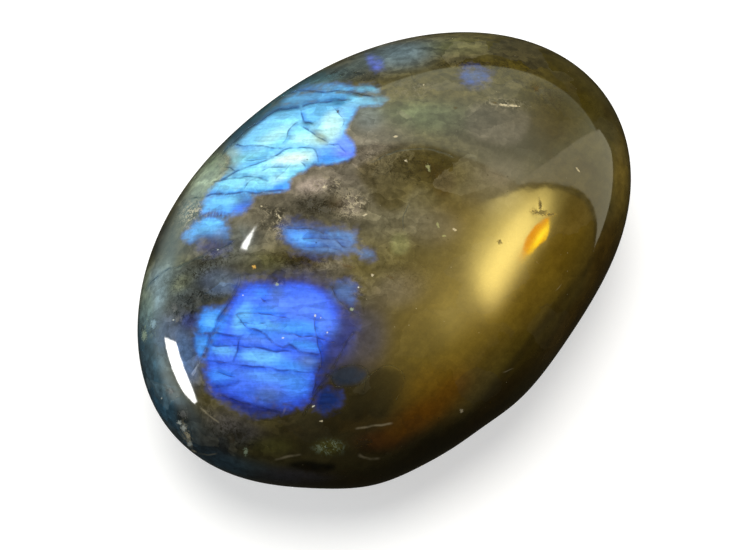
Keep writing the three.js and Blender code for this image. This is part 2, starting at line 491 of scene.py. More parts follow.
# The body between the flashes. A later cloud lies over an earlier one.
FACE_CLOUDS = (
    # The golden side: partly the crystal's own golden olive, and partly painted reflection of the warm lamp
    # glow.
    # Its largest cloud lies where the warm glow is mirrored, and paints part of that glow into the colour.
    Zone(Pigment.GOLDEN_OLIVE, (10.0, -7.0), (14.0, 6.5), 0.9, 42),
    Zone(Pigment.STRAW, (27.0, 7.0), (1.2, 5.6), 0.9),
    Zone(Pigment.GOLDEN_OLIVE, (19.0, 2.0), (4.0, 6.0), 0.7),
    Zone(Pigment.DEEP_OLIVE, (18.4, 5.6), (2.4, 2.0), 0.7),
    Zone(Pigment.DEEP_OLIVE, (4.6, 8.8), (4.0, 2.2), 0.5),
    Zone(Pigment.TAUPE, (11.4, 6.6), (3.0, 2.2), 0.4),
    Zone(Pigment.GOLDEN_OLIVE, (7.4, 4.0), (2.8, 2.2), 0.6, 20),
    Zone(Pigment.GOLDEN_OLIVE, (-1.8, 6.2), (1.8, 1.6), 0.6),
    Zone(Pigment.TAUPE, (4.9, 3.0), (2.6, 1.6), 0.5),
    Zone(Pigment.LILAC_GREY, (12.8, 9.4), (2.4, 1.6), 0.6),
    # The grey middle.
    Zone(Pigment.GREY_TAUPE, (-6.0, 9.0), (8.0, 5.6), 0.9),
    Zone(Pigment.GREY_TAUPE, (-16.0, 3.0), (6.0, 4.0), 0.6, 20),
    Zone(Pigment.TAUPE, (-14.5, 3.6), (4.0, 2.4), 0.6, 10),
    Zone(Pigment.GREY_TAUPE, (0.6, 3.8), (4.5, 1.8), 0.5),
    Zone(Pigment.LILAC_GREY, (1.0, -3.8), (2.4, 1.6), 0.5, 10),
    Zone(Pigment.LILAC_GREY, (-8.0, 8.2), (6.0, 2.6), 0.6, 10),
    Zone(Pigment.LILAC_GREY, (-3.6, 10.6), (3.4, 2.0), 0.6, 30),
    Zone(Pigment.SLATE, (-16.8, 1.8), (2.2, 1.4), 0.6, 10),
    Zone(Pigment.LILAC_GREY, (-2.0, 13.4), (3.2, 2.4), 0.6),
    Zone(Pigment.STEEL, (-2.2, 15.5), (1.5, 1.3), 0.3),
    # The crown and the far rim.
    Zone(Pigment.GREEN_VEIL, (5.4, 15.4), (5.2, 1.5), 0.6, -5),
    Zone(Pigment.SMOKE, (12.0, 13.4), (5.6, 3.4), 0.95, -20),
    Zone(Pigment.PEAT, (10.6, 12.6), (4.2, 0.5), 0.55, -20),
    Zone(Pigment.UMBER, (18.6, 15.4), (2.6, 2.6), 0.5),
    Zone(Pigment.SLATE, (1.6, 22.8), (4.8, 1.5), 0.9, 8),
    Zone(Pigment.STEEL, (1.6, 23.6), (2.6, 0.8), 0.2, 4),
    Zone(Pigment.DEEP_OLIVE, (19.6, 19.6), (6.4, 2.6), 0.95, -36),
    Zone(Pigment.DEEP_OLIVE, (8.4, 22.4), (3.4, 1.0), 0.6),
    Zone(Pigment.MOSS, (8.4, 23.8), (3.4, 0.9), 0.7),
    Zone(Pigment.DEEP_OLIVE, (15.6, 23.0), (3.4, 1.6), 0.8, -14),
    Zone(Pigment.DEEP_OLIVE, (11.0, 21.6), (4.6, 0.7), 0.7, -2),
    Zone(Pigment.DEEP_TEAL, (-7.4, 20.3), (3.6, 0.9), 0.85, 12),
    Zone(Pigment.SMOKE, (-3.0, 20.7), (3.0, 0.8), 0.6, -4),
    Zone(Pigment.DEEP_TEAL, (-12.4, 18.0), (3.0, 0.9), 0.9, 32),
    Zone(Pigment.DEEP_TEAL, (-14.6, 16.2), (5.6, 0.9), 0.9, 43),
    # The left flank. Its rim clouds of steel, sage, pale green, teal and blue slate are partly the
    # crystal's own tint and partly painted reflection of a cool window haze.
    Zone(Pigment.SAGE, (-20.4, 8.4), (2.6, 1.3), 0.9, 60),
    Zone(Pigment.GREEN_VEIL, (-19.4, 10.4), (1.0, 1.0), 0.6, 40),
    Zone(Pigment.SLATE, (-21.8, 5.2), (1.7, 1.5), 0.6, 60),
    Zone(Pigment.PALE_GREEN, (-22.4, 0.4), (2.8, 0.9), 0.45, 24),
    Zone(Pigment.PALE_GREEN, (-24.0, -1.0), (1.3, 0.8), 0.7, 30),
    Zone(Pigment.SMOKE, (-24.6, 2.2), (1.1, 1.4), 0.7, 30),
    Zone(Pigment.SMOKE, (-24.8, 1.4), (1.7, 2.4), 1.0, 20),
    Zone(Pigment.DUSK, (-20.6, 0.9), (2.2, 1.0), 0.6, 10),
    Zone(Pigment.STEEL, (-24.9, -3.6), (0.8, 2.6), 0.8, -14),
    Zone(Pigment.SAGE, (-26.9, -5.6), (0.8, 3.4), 0.8),
    Zone(Pigment.SLATE, (-19.4, -2.9), (4.2, 2.0), 1.0, 22),
    Zone(Pigment.BLUE_SLATE, (-18.2, -2.9), (1.8, 1.0), 0.95),
    Zone(Pigment.NIGHT_SLATE, (-22.2, -5.6), (2.0, 1.6), 0.8, 10),
    Zone(Pigment.SLATE, (-23.2, -2.8), (1.8, 1.2), 0.7, 30),
    Zone(Pigment.STEEL, (-25.8, -2.6), (0.7, 1.4), 0.7, -14),
    Zone(Pigment.PALE_GREEN, (-22.8, -3.0), (1.3, 0.7), 0.5, 30),
    # Painted reflection of the cool window haze on the far left rim, over the crystal's own slate.
    Zone(Pigment.TEAL_SLATE, (-26.4, -11.0), (1.9, 5.0), 0.9, 5),
    Zone(Pigment.TEAL_SLATE, (-24.2, -17.4), (2.2, 3.6), 0.95, 30),
    Zone(Pigment.SEA_SLATE, (-23.2, -20.0), (2.0, 2.2), 0.95, 40),
    Zone(Pigment.BLUE_SLATE, (-22.1, -10.6), (1.3, 2.8), 0.95, 15),
    Zone(Pigment.DULL_BLUE, (-22.4, -10.8), (0.9, 1.8), 0.4, 15),
    Zone(Pigment.BLUE_SLATE, (-24.6, -8.4), (1.2, 1.6), 0.6),
    Zone(Pigment.SMOKE, (-16.6, -1.7), (1.8, 1.0), 0.8, 10),
    Zone(Pigment.BLUE_SLATE, (-18.5, -2.8), (1.6, 1.0), 0.9),
    Zone(Pigment.STEEL, (-18.4, -2.8), (1.0, 0.7), 0.35),
    Zone(Pigment.INDIGO, (-21.7, -7.3), (0.9, 0.7), 0.5),
    # The foot.
    Zone(Pigment.SEA_SLATE, (-19.0, -22.6), (3.6, 1.2), 0.8, -30),
    Zone(Pigment.NIGHT_SLATE, (-19.0, -20.6), (2.4, 1.8), 0.9, -40),
    Zone(Pigment.SLATE, (-16.2, -19.8), (1.6, 1.0), 0.5),
    Zone(Pigment.SEA_SLATE, (-15.8, -23.6), (4.4, 1.2), 0.6, -14),
    Zone(Pigment.PEAT, (-22.3, -17.5), (1.1, 1.1), 0.95),
    Zone(Pigment.DUSK, (-16.4, -18.8), (3.0, 1.2), 0.7, -22),
    Zone(Pigment.PEAT, (-6.4, -19.8), (12.0, 2.6), 0.85, 2),
    Zone(Pigment.PEAT, (-3.0, -24.0), (13.0, 1.8), 0.6, 4),
    Zone(Pigment.DUSK, (-10.0, -24.4), (3.4, 0.9), 0.7, -4),
    Zone(Pigment.UMBER, (-4.6, -25.2), (3.4, 0.8), 0.6, 4),
    Zone(Pigment.MOSS, (-6.4, -20.9), (1.3, 0.7), 0.7),
    Zone(Pigment.MOSS, (-12.6, -20.8), (2.0, 0.8), 0.4),
    Zone(Pigment.PEAT, (0.0, -20.6), (3.4, 1.2), 0.5, 10),
    Zone(Pigment.RED_BROWN, (-0.8, -20.2), (2.2, 1.0), 0.7),
    # The rust, and the dark near rim.
    Zone(Pigment.DEEP_OLIVE, (5.0, -9.0), (3.4, 2.4), 0.5, 30),
    Zone(Pigment.AMBER, (5.0, -14.6), (3.6, 2.0), 0.7, 30),
    Zone(Pigment.RUST, (3.4, -17.6), (3.8, 1.4), 0.9, 28),
    Zone(Pigment.RUST, (7.0, -14.4), (1.8, 1.0), 0.5, 30),
    Zone(Pigment.PEAT, (6.6, -20.0), (5.0, 1.3), 0.8, 28),
    Zone(Pigment.UMBER, (10.0, -19.6), (5.0, 0.9), 0.7, 40),
    Zone(Pigment.AMBER, (20.2, -7.8), (4.6, 0.9), 0.6, 54),
    Zone(Pigment.AMBER, (24.6, 0.2), (1.3, 3.6), 0.6, -22),
    Zone(Pigment.PEAT, (12.6, -14.8), (6.0, 1.1), 0.7, 48),
    Zone(Pigment.UMBER, (14.0, -13.6), (9.0, 1.0), 0.7, 50),
    Zone(Pigment.DEEP_OLIVE, (15.4, -9.6), (5.0, 1.4), 0.6, 48),
    Zone(Pigment.PEAT, (17.4, -7.4), (7.6, 0.45), 0.6, 51),
    # Beside the lower flash, and between the flashes.
    Zone(Pigment.DUSK, (-2.9, -9.2), (2.2, 3.2), 0.95, -15),
    Zone(Pigment.INDIGO, (-4.8, -9.6), (1.2, 2.8), 0.4, -20),
    Zone(Pigment.PEAT, (-4.0, -14.6), (4.6, 2.4), 0.75, -10),
    Zone(Pigment.PEAT, (-4.0, -17.8), (4.0, 1.3), 0.7),
    Zone(Pigment.SMOKE, (-7.8, 5.3), (2.4, 1.3), 0.9, firmness=1.5),
    Zone(Pigment.SMOKE, (-12.4, 4.4), (2.2, 1.4), 0.7, 20),
    Zone(Pigment.SMOKE, (-10.4, -1.7), (4.2, 1.2), 0.9, -6),
    Zone(Pigment.DUSK, (-9.4, -2.1), (4.6, 0.9), 0.5, -6),
    Zone(Pigment.UMBER, (-5.6, 5.8), (0.8, 0.8), 0.6),
    Zone(Pigment.PINK_BEIGE, (-8.4, 7.7), (1.5, 0.7), 0.8, 10),
    Zone(Pigment.PINK_BEIGE, (-4.0, 5.4), (1.1, 1.1), 0.35),
    Zone(Pigment.UMBER, (-8.2, -0.7), (4.2, 0.6), 0.6, -8),
    Zone(Pigment.MOSS, (-13.4, -0.9), (2.4, 1.0), 0.5),
    Zone(Pigment.TAUPE, (-6.0, -1.2), (1.6, 0.5), 0.5),
    Zone(Pigment.SMOKE, (-4.4, 3.6), (2.4, 0.7), 0.6, -6),
)

# Crystals with an edge of their own in the body.
FACE_PLATES = (
    Patch(Pigment.DEEP_OLIVE, (
        (-3.6, 9.4), (-1.4, 10.9), (1.4, 11.9), (4.4, 11.7), (7.4, 10.6), (8.6, 8.6), (6.6, 6.8),
        (3.2, 7.4), (1.4, 5.0), (-0.8, 5.2), (-2.2, 7.4),
    ), 0.5, 0.6),
    Patch(Pigment.UMBER, (
        (3.6, 10.2), (5.4, 9.8), (7.4, 8.8), (7.0, 6.8), (5.6, 6.4), (4.8, 8.4),
    ), 0.5, 0.8),
    Patch(Pigment.PALE_GREEN, ((0.5, 2.0), (2.0, 2.2), (2.3, 0.8), (1.6, 0.1), (0.5, 0.3)), 0.35, 0.5),
    Patch(Pigment.INK, (
        (-6.2, -12.9), (-5.1, -12.2), (-3.4, -12.1), (-2.3, -12.9), (-3.4, -13.9), (-5.6, -14.0),
    ), 0.35, 0.95),
    Patch(Pigment.PEAT, (
        (-1.7, -12.7), (0.0, -12.2), (1.5, -12.8), (1.6, -13.8), (0.6, -15.8), (-0.6, -17.8),
        (-3.6, -17.7), (-4.2, -15.8), (-2.6, -14.4),
    ), 0.5, 0.6),
    Patch(Pigment.SMOKE, (
        (-16.8, -2.4), (-18.4, -0.4), (-21.0, -2.0), (-22.0, -4.4), (-20.0, -5.6), (-18.0, -5.2),
        (-17.2, -3.6),
    ), 0.6, 0.35),
    Patch(Pigment.LILAC_GREY, (
        (9.4, 16.6), (12.0, 16.9), (16.0, 15.8), (14.6, 12.6), (11.4, 12.4), (9.0, 14.0),
    ), 0.5, 0.35),
    Patch(Pigment.BLACK, (
        (-10.8, -22.8), (-9.2, -22.4), (-7.4, -22.6), (-5.8, -22.9), (-6.2, -23.5), (-8.0, -23.7),
        (-9.8, -23.4),
    ), 0.4, 0.9),
    Patch(Pigment.TAUPE, ((-7.2, -0.7), (-5.0, -0.7), (-4.8, -1.6), (-7.0, -1.8)), 0.35, 0.5),
)

# Where crumbs of other crystals lie thick.
FACE_GRIT = (
    Zone(Pigment.CREAM, (-4.4, 5.6), (2.2, 1.6), 1.0),
    Zone(Pigment.CREAM, (-6.6, 7.8), (1.6, 0.9), 0.9),
    Zone(Pigment.PEAT, (-7.4, 5.6), (2.6, 1.4), 1.0),
    Zone(Pigment.CREAM, (-12.4, 3.6), (1.6, 2.2), 0.7, 30),
    Zone(Pigment.PEAT, (-9.4, -0.8), (3.6, 0.8), 0.9, -8),
    Zone(Pigment.CREAM, (-21.6, 4.6), (1.8, 1.6), 0.9, 50),
    Zone(Pigment.PEAT, (-20.6, -1.4), (4.6, 1.0), 1.0, 24),
    Zone(Pigment.BLACK, (-22.6, -5.6), (1.6, 1.8), 1.0),
    Zone(Pigment.BLACK, (-19.9, -4.4), (1.6, 0.6), 1.0),
    Zone(Pigment.BLACK, (-4.6, 20.6), (3.2, 0.7), 1.0, -6),
    Zone(Pigment.CREAM, (-22.1, -19.8), (0.6, 1.6), 0.9, 10),
    Zone(Pigment.CREAM, (-19.6, -17.0), (1.5, 0.5), 0.5, -40),
    Zone(Pigment.PEAT, (-17.0, -19.4), (2.6, 1.4), 0.9, -20),
    Zone(Pigment.SAGE, (-6.4, -20.9), (1.6, 0.8), 0.9),
    Zone(Pigment.PEAT, (2.0, 9.8), (5.4, 1.8), 0.7, -10),
    Zone(Pigment.CREAM, (13.0, 17.0), (2.6, 0.8), 0.6, -5),
    Zone(Pigment.CREAM, (3.0, 18.6), (3.0, 1.4), 0.4),
    Zone(Pigment.PEAT, (10.0, 21.6), (5.0, 0.7), 0.8),
    Zone(Pigment.UMBER, (18.4, 17.6), (1.8, 1.4), 0.8),
    Zone(Pigment.UMBER, (14.8, 20.0), (3.0, 1.4), 0.5, -20),
    Zone(Pigment.CREAM, (-3.6, -3.6), (1.6, 1.4), 0.5),
    Zone(Pigment.CREAM, (-12.0, -3.6), (0.7, 0.7), 0.8),
    Zone(Pigment.SAGE, (-26.4, -7.8), (1.0, 1.2), 0.9),
    Zone(Pigment.PEAT, (2.0, -2.0), (3.0, 1.6), 0.4, -20),
    Zone(Pigment.CREAM, (-18.2, 10.6), (1.4, 1.0), 0.6, 50),
)

UPPER_CRACKS = (
    Crack((
        (-13.0, 17.2), (-11.8, 18.2), (-10.9, 18.5), (-9.1, 18.6), (-7.3, 18.55), (-5.4, 18.4),
        (-3.6, 18.2), (-0.9, 17.9),
    ), 0.26),
    Crack((
        (-18.9, 11.2), (-17.6, 12.5), (-15.6, 14.2), (-14.0, 15.5), (-12.5, 16.3), (-11.0, 16.65),
        (-9.7, 16.5),
    ), 0.4),
    Crack(((-9.7, 16.5), (-8.6, 17.0), (-6.4, 17.25), (-4.4, 17.3)), 0.2),
    Crack(((-9.8, 16.5), (-9.7, 15.6), (-9.2, 15.0), (-8.2, 14.9)), 0.2),
    Crack(((-9.9, 15.0), (-10.7, 14.3), (-11.4, 13.2), (-11.9, 12.5)), 0.17),
    Crack(((-9.7, 14.7), (-8.6, 13.7), (-7.4, 12.9), (-6.3, 12.3), (-5.6, 12.2)), 0.18),
    Crack(((-7.0, 12.1), (-5.6, 12.3), (-5.2, 11.9), (-4.5, 11.1)), 0.16),
    Crack(((-11.6, 12.0), (-13.2, 12.1), (-14.8, 12.3), (-16.4, 12.45), (-17.9, 12.6)), 0.2),
    Crack(((-18.9, 8.2), (-16.9, 9.4), (-15.3, 10.0), (-13.6, 10.4), (-12.6, 11.25)), 0.2),
    Crack(((-12.8, 11.1), (-11.3, 11.7), (-9.9, 11.9), (-8.5, 11.8), (-8.0, 11.2), (-7.7, 10.2)), 0.18),
    Crack(((-19.7, 8.1), (-18.2, 8.45), (-16.5, 8.65), (-14.3, 8.6), (-13.1, 8.2)), 0.22),
    Crack(((-22.2, 6.2), (-20.0, 6.6), (-18.0, 6.85), (-15.4, 7.0), (-11.4, 7.05)), 0.22),
    Crack(((-18.9, 10.0), (-18.0, 9.8), (-17.1, 9.4), (-17.6, 8.8)), 0.16),
    Crack(((-12.5, 8.3), (-11.5, 9.3), (-10.6, 10.2)), 0.14),
    Crack(((-15.9, 7.2), (-15.2, 8.1), (-14.4, 8.6)), 0.13),
    Crack(((-16.0, 10.6), (-13.8, 10.7), (-12.5, 11.0)), 0.12),
    Crack(((-9.8, 10.3), (-9.3, 10.0), (-9.1, 9.6)), 0.14),
    Crack(((-6.2, 16.8), (-5.5, 16.0), (-4.9, 15.2), (-5.2, 14.3)), 0.1),
    Crack(((-14.0, 9.3), (-12.6, 9.7), (-11.2, 9.8)), 0.11),
)

LOWER_CRACKS = (
    Crack((
        (-16.2, -2.0), (-16.3, -3.2), (-17.0, -4.5), (-18.2, -6.6), (-19.1, -8.6), (-20.0, -10.5),
        (-20.8, -12.1), (-21.4, -13.3),
    ), 0.34),
    Crack(((-15.6, -8.6), (-16.2, -8.8), (-17.8, -8.7), (-19.0, -8.6), (-21.0, -8.6)), 0.26),
    Crack((
        (-7.2, -10.7), (-9.2, -10.6), (-9.9, -10.2), (-10.6, -9.7), (-11.3, -9.9), (-12.2, -9.6),
        (-12.9, -9.1), (-13.4, -8.6), (-14.3, -8.2), (-15.5, -7.9),
    ), 0.24),
    Crack(((-19.4, -9.8), (-17.0, -9.9), (-14.5, -10.0), (-12.7, -10.3), (-10.4, -10.6)), 0.18),
    Crack((
        (-7.6, -12.7), (-9.0, -12.8), (-12.0, -12.4), (-15.0, -12.0), (-16.9, -11.8), (-18.4, -11.6),
        (-19.9, -11.5),
    ), 0.2),
    Crack(((-18.8, -14.3), (-16.9, -14.2), (-16.0, -13.6)), 0.34),
    Crack(((-11.0, -17.1), (-13.0, -16.6), (-14.8, -16.1), (-16.6, -15.7), (-18.6, -15.2)), 0.3),
    Crack(((-11.4, -8.6), (-9.0, -8.8), (-7.0, -9.2), (-5.6, -9.3)), 0.16),
    Crack(((-16.8, -6.5), (-14.0, -6.3), (-12.4, -6.7), (-10.8, -6.9)), 0.16),
    Crack(((-16.4, -7.4), (-13.2, -7.4)), 0.12),
    Crack(((-8.0, -6.6), (-7.9, -8.6), (-7.4, -10.4), (-7.3, -11.6), (-7.7, -13.4), (-8.2, -15.4)), 0.16),
    Crack(((-6.4, -3.3), (-5.6, -4.8), (-4.8, -5.5), (-3.6, -6.4), (-1.7, -7.1)), 0.28),
    Crack(((-3.8, -8.2), (-5.0, -10.6), (-6.0, -12.4), (-7.7, -14.8), (-9.3, -17.5)), 0.3),
    Crack(((-16.9, -6.1), (-15.7, -7.6), (-15.2, -8.0)), 0.14),
    Crack(((-16.0, -8.8), (-16.5, -10.4), (-16.9, -11.9)), 0.22),
    Crack(((-14.0, -4.5), (-12.9, -5.2)), 0.2),
    Crack(((-18.7, -12.8), (-17.2, -13.3), (-16.4, -13.2)), 0.14),
    Crack(((-11.3, 2.9), (-7.4, 2.6), (-5.2, 1.1), (-4.4, 0.9)), 0.18),
    Crack(((-9.6, 1.9), (-6.6, 1.7), (-3.9, 1.5)), 0.14),
    Crack(((-9.6, 0.9), (-6.6, 0.7), (-4.8, 0.4)), 0.12),
)

STRAY_CRACKS = (
    Crack(((16.8, 6.2), (16.9, 5.4), (17.0, 4.8)), 0.26),
    Crack(((-27.0, -4.0), (-24.8, -1.9), (-21.9, -0.9), (-19.4, 0.3), (-16.8, 1.4)), 0.3),
    Crack((
        (-22.3, -18.8), (-21.9, -20.2), (-21.5, -21.4), (-20.2, -21.9), (-18.6, -21.8),
    ), 0.22, pale=True),
    Crack(((-12.4, -22.3), (-11.0, -22.1), (-9.4, -21.7)), 0.28, pale=True),
    Crack(((-3.3, -21.7), (-2.2, -22.1), (-0.8, -22.2)), 0.3, pale=True),
    Crack(((11.2, 17.2), (12.6, 16.9), (14.6, 16.8)), 0.3, pale=True),
    Crack(((-20.6, -16.6), (-19.4, -17.4), (-18.2, -18.3)), 0.2, pale=True),
    Crack(((-11.2, -16.4), (-11.5, -17.3)), 0.25, pale=True),
    Crack(((-3.6, -18.9), (-1.4, -18.6), (0.6, -18.4)), 0.22, pale=True),
    Crack(((2.4, 5.8), (1.6, 4.2), (1.8, 2.6)), 0.12),
    Crack(((-2.0, 10.3), (1.0, 11.6), (4.4, 11.7), (7.4, 10.8)), 0.2),
    Crack((
        (-6.3, -12.9), (-5.1, -12.1), (-3.4, -12.0), (-2.2, -12.8), (-3.3, -14.0), (-5.6, -14.1),
        (-6.3, -13.0),
    ), 0.16),
    Crack(((-2.7, -15.0), (-1.8, -12.8), (0.0, -12.1), (1.6, -12.8), (1.7, -13.9), (0.7, -15.9)), 0.14),
    Crack(((18.6, -4.0), (19.4, -3.2)), 0.1, pale=True),
    Crack(((12.6, -12.9), (13.9, -12.4)), 0.12, pale=True),
)

FACE_FLECKS = (
    flecks(
        Pigment.BLACK, (-19.9, -4.5, 0.5, 0.25, 10), (-20.6, -4.6, 0.3, 0.2),
        (-23.4, -5.8, 0.3, 0.45, 20), (-23.0, -7.0, 0.4, 0.3, 30), (-18.9, -4.8, 0.3, 0.15),
        (-23.8, -14.9, 0.4, 0.28), (-6.0, 20.9, 0.45, 0.16, 20), (-5.1, 20.6, 0.3, 0.2),
        (-3.4, 20.7, 0.5, 0.13, -12), (-9.9, -0.9, 0.4, 0.22), (-22.4, -17.4, 0.5, 0.45),
    )
    + flecks(
        Pigment.PEAT, (-17.1, -19.9, 0.45, 0.6), (-2.6, -20.4, 0.7, 0.45, 20),
        (12.3, 1.45, 0.24, 0.2, -20), (16.9, 5.4, 0.17, 0.7, 6), (16.9, 4.75, 0.9, 0.3, -8),
        (18.1, 4.5, 0.6, 0.2, 4),
    )
    + flecks(
        Pigment.UMBER, (-4.5, -1.2, 0.6, 0.25, -10), (0.3, -2.4, 0.4, 0.1, -25),
        (16.9, 18.9, 0.35, 0.28, 30), (16.5, -0.8, 0.2, 0.08, -50), (7.6, 16.5, 0.18, 0.12),
        (12.1, 17.1, 0.35, 0.1, -15),
    )
    + flecks(
        Pigment.SMOKE, (-5.5, 16.1, 0.13, 0.2), (-8.5, 5.6, 0.35, 0.5), (-6.8, 5.0, 0.7, 0.3),
        (-2.9, 6.2, 0.25, 0.15),
    )
    + flecks(Pigment.GOLD, (-14.6, -1.3, 0.16, 0.2))
    + flecks(
        Pigment.PALE_GREEN, (4.5, 9.7, 0.2, 0.3, 20), (5.5, 3.3, 0.12, 0.3, 20), (6.2, 2.1, 0.2, 0.09),
    )
    + flecks(
        Pigment.CREAM, (7.3, 2.8, 0.2, 0.12, -30), (0.9, 13.2, 0.25, 0.1, 10),
        (2.0, 10.5, 0.16, 0.12, -30), (-7.0, 7.5, 0.2, 0.12), (-13.9, 5.4, 0.1, 0.09),
        (-12.0, 4.3, 0.3, 0.09, -45), (-2.5, 4.4, 0.25, 0.1, 20), (13.0, 16.9, 0.6, 0.1, -8),
        (14.2, 16.8, 0.5, 0.09, -5), (21.3, 9.6, 0.24, 0.07, -50), (-1.7, -2.2, 0.14, 0.12),
        (-22.0, -19.8, 0.22, 0.34), (-21.4, -21.6, 0.24, 0.14, -20), (-7.2, -18.0, 0.16, 0.08),
        (4.1, 19.2, 0.08, 0.08), (8.1, -17.0, 0.2, 0.2),
    )
    + flecks(
        Pigment.SAGE, (-3.9, -5.9, 0.2, 0.14), (-12.1, -3.2, 0.16, 0.14), (-15.5, -21.4, 0.22, 0.35),
        (-27.0, -8.9, 0.3, 0.5),
    )
    + flecks(
        Pigment.CHALK, (-18.7, 0.6, 0.09, 0.08), (-7.9, -6.6, 0.09, 0.14), (-7.3, -6.8, 0.08, 0.07),
        (-11.4, -9.0, 0.11, 0.08), (-6.6, -8.4, 0.09, 0.08), (-3.2, -3.5, 0.08, 0.1),
        (-15.8, -4.4, 0.07, 0.07), (-23.5, -7.1, 0.12, 0.08), (-24.9, -15.8, 0.12, 0.08, 40),
        (-22.9, -18.4, 0.26, 0.24, 20), (-22.4, -19.0, 0.26, 0.3, 20), (-21.8, -20.8, 0.24, 0.26),
        (-8.1, -16.4, 0.12, 0.09, 30),
    )
    + flecks(Pigment.STEEL, (-25.9, -7.6, 0.3, 0.4))
)

FACE_PITS = (
    Pit((16.9, 18.9), 0.9, 0.09),
    Pit((16.5, 4.9), 0.8, 0.03),
    Pit((-8.6, -23.0), 1.6, 0.06),
    Pit((-21.6, -19.6), 1.0, 0.1),
    Pit((12.8, 16.9), 1.1, 0.04),
    Pit((-23.6, -14.9), 0.8, 0.06),
)

FACE = Markings(
    flashes=UPPER_FLASH + LEFT_FLASHES + MIDDLE_FLASHES + LOWER_FLASH + FAR_FLASHES,
    gleams=FACE_GLEAMS,
    clouds=FACE_CLOUDS,
    plates=FACE_PLATES,
    grit=FACE_GRIT,
    cracks=UPPER_CRACKS + LOWER_CRACKS + STRAY_CRACKS,
    flecks=FACE_FLECKS,
    pits=FACE_PITS,
)
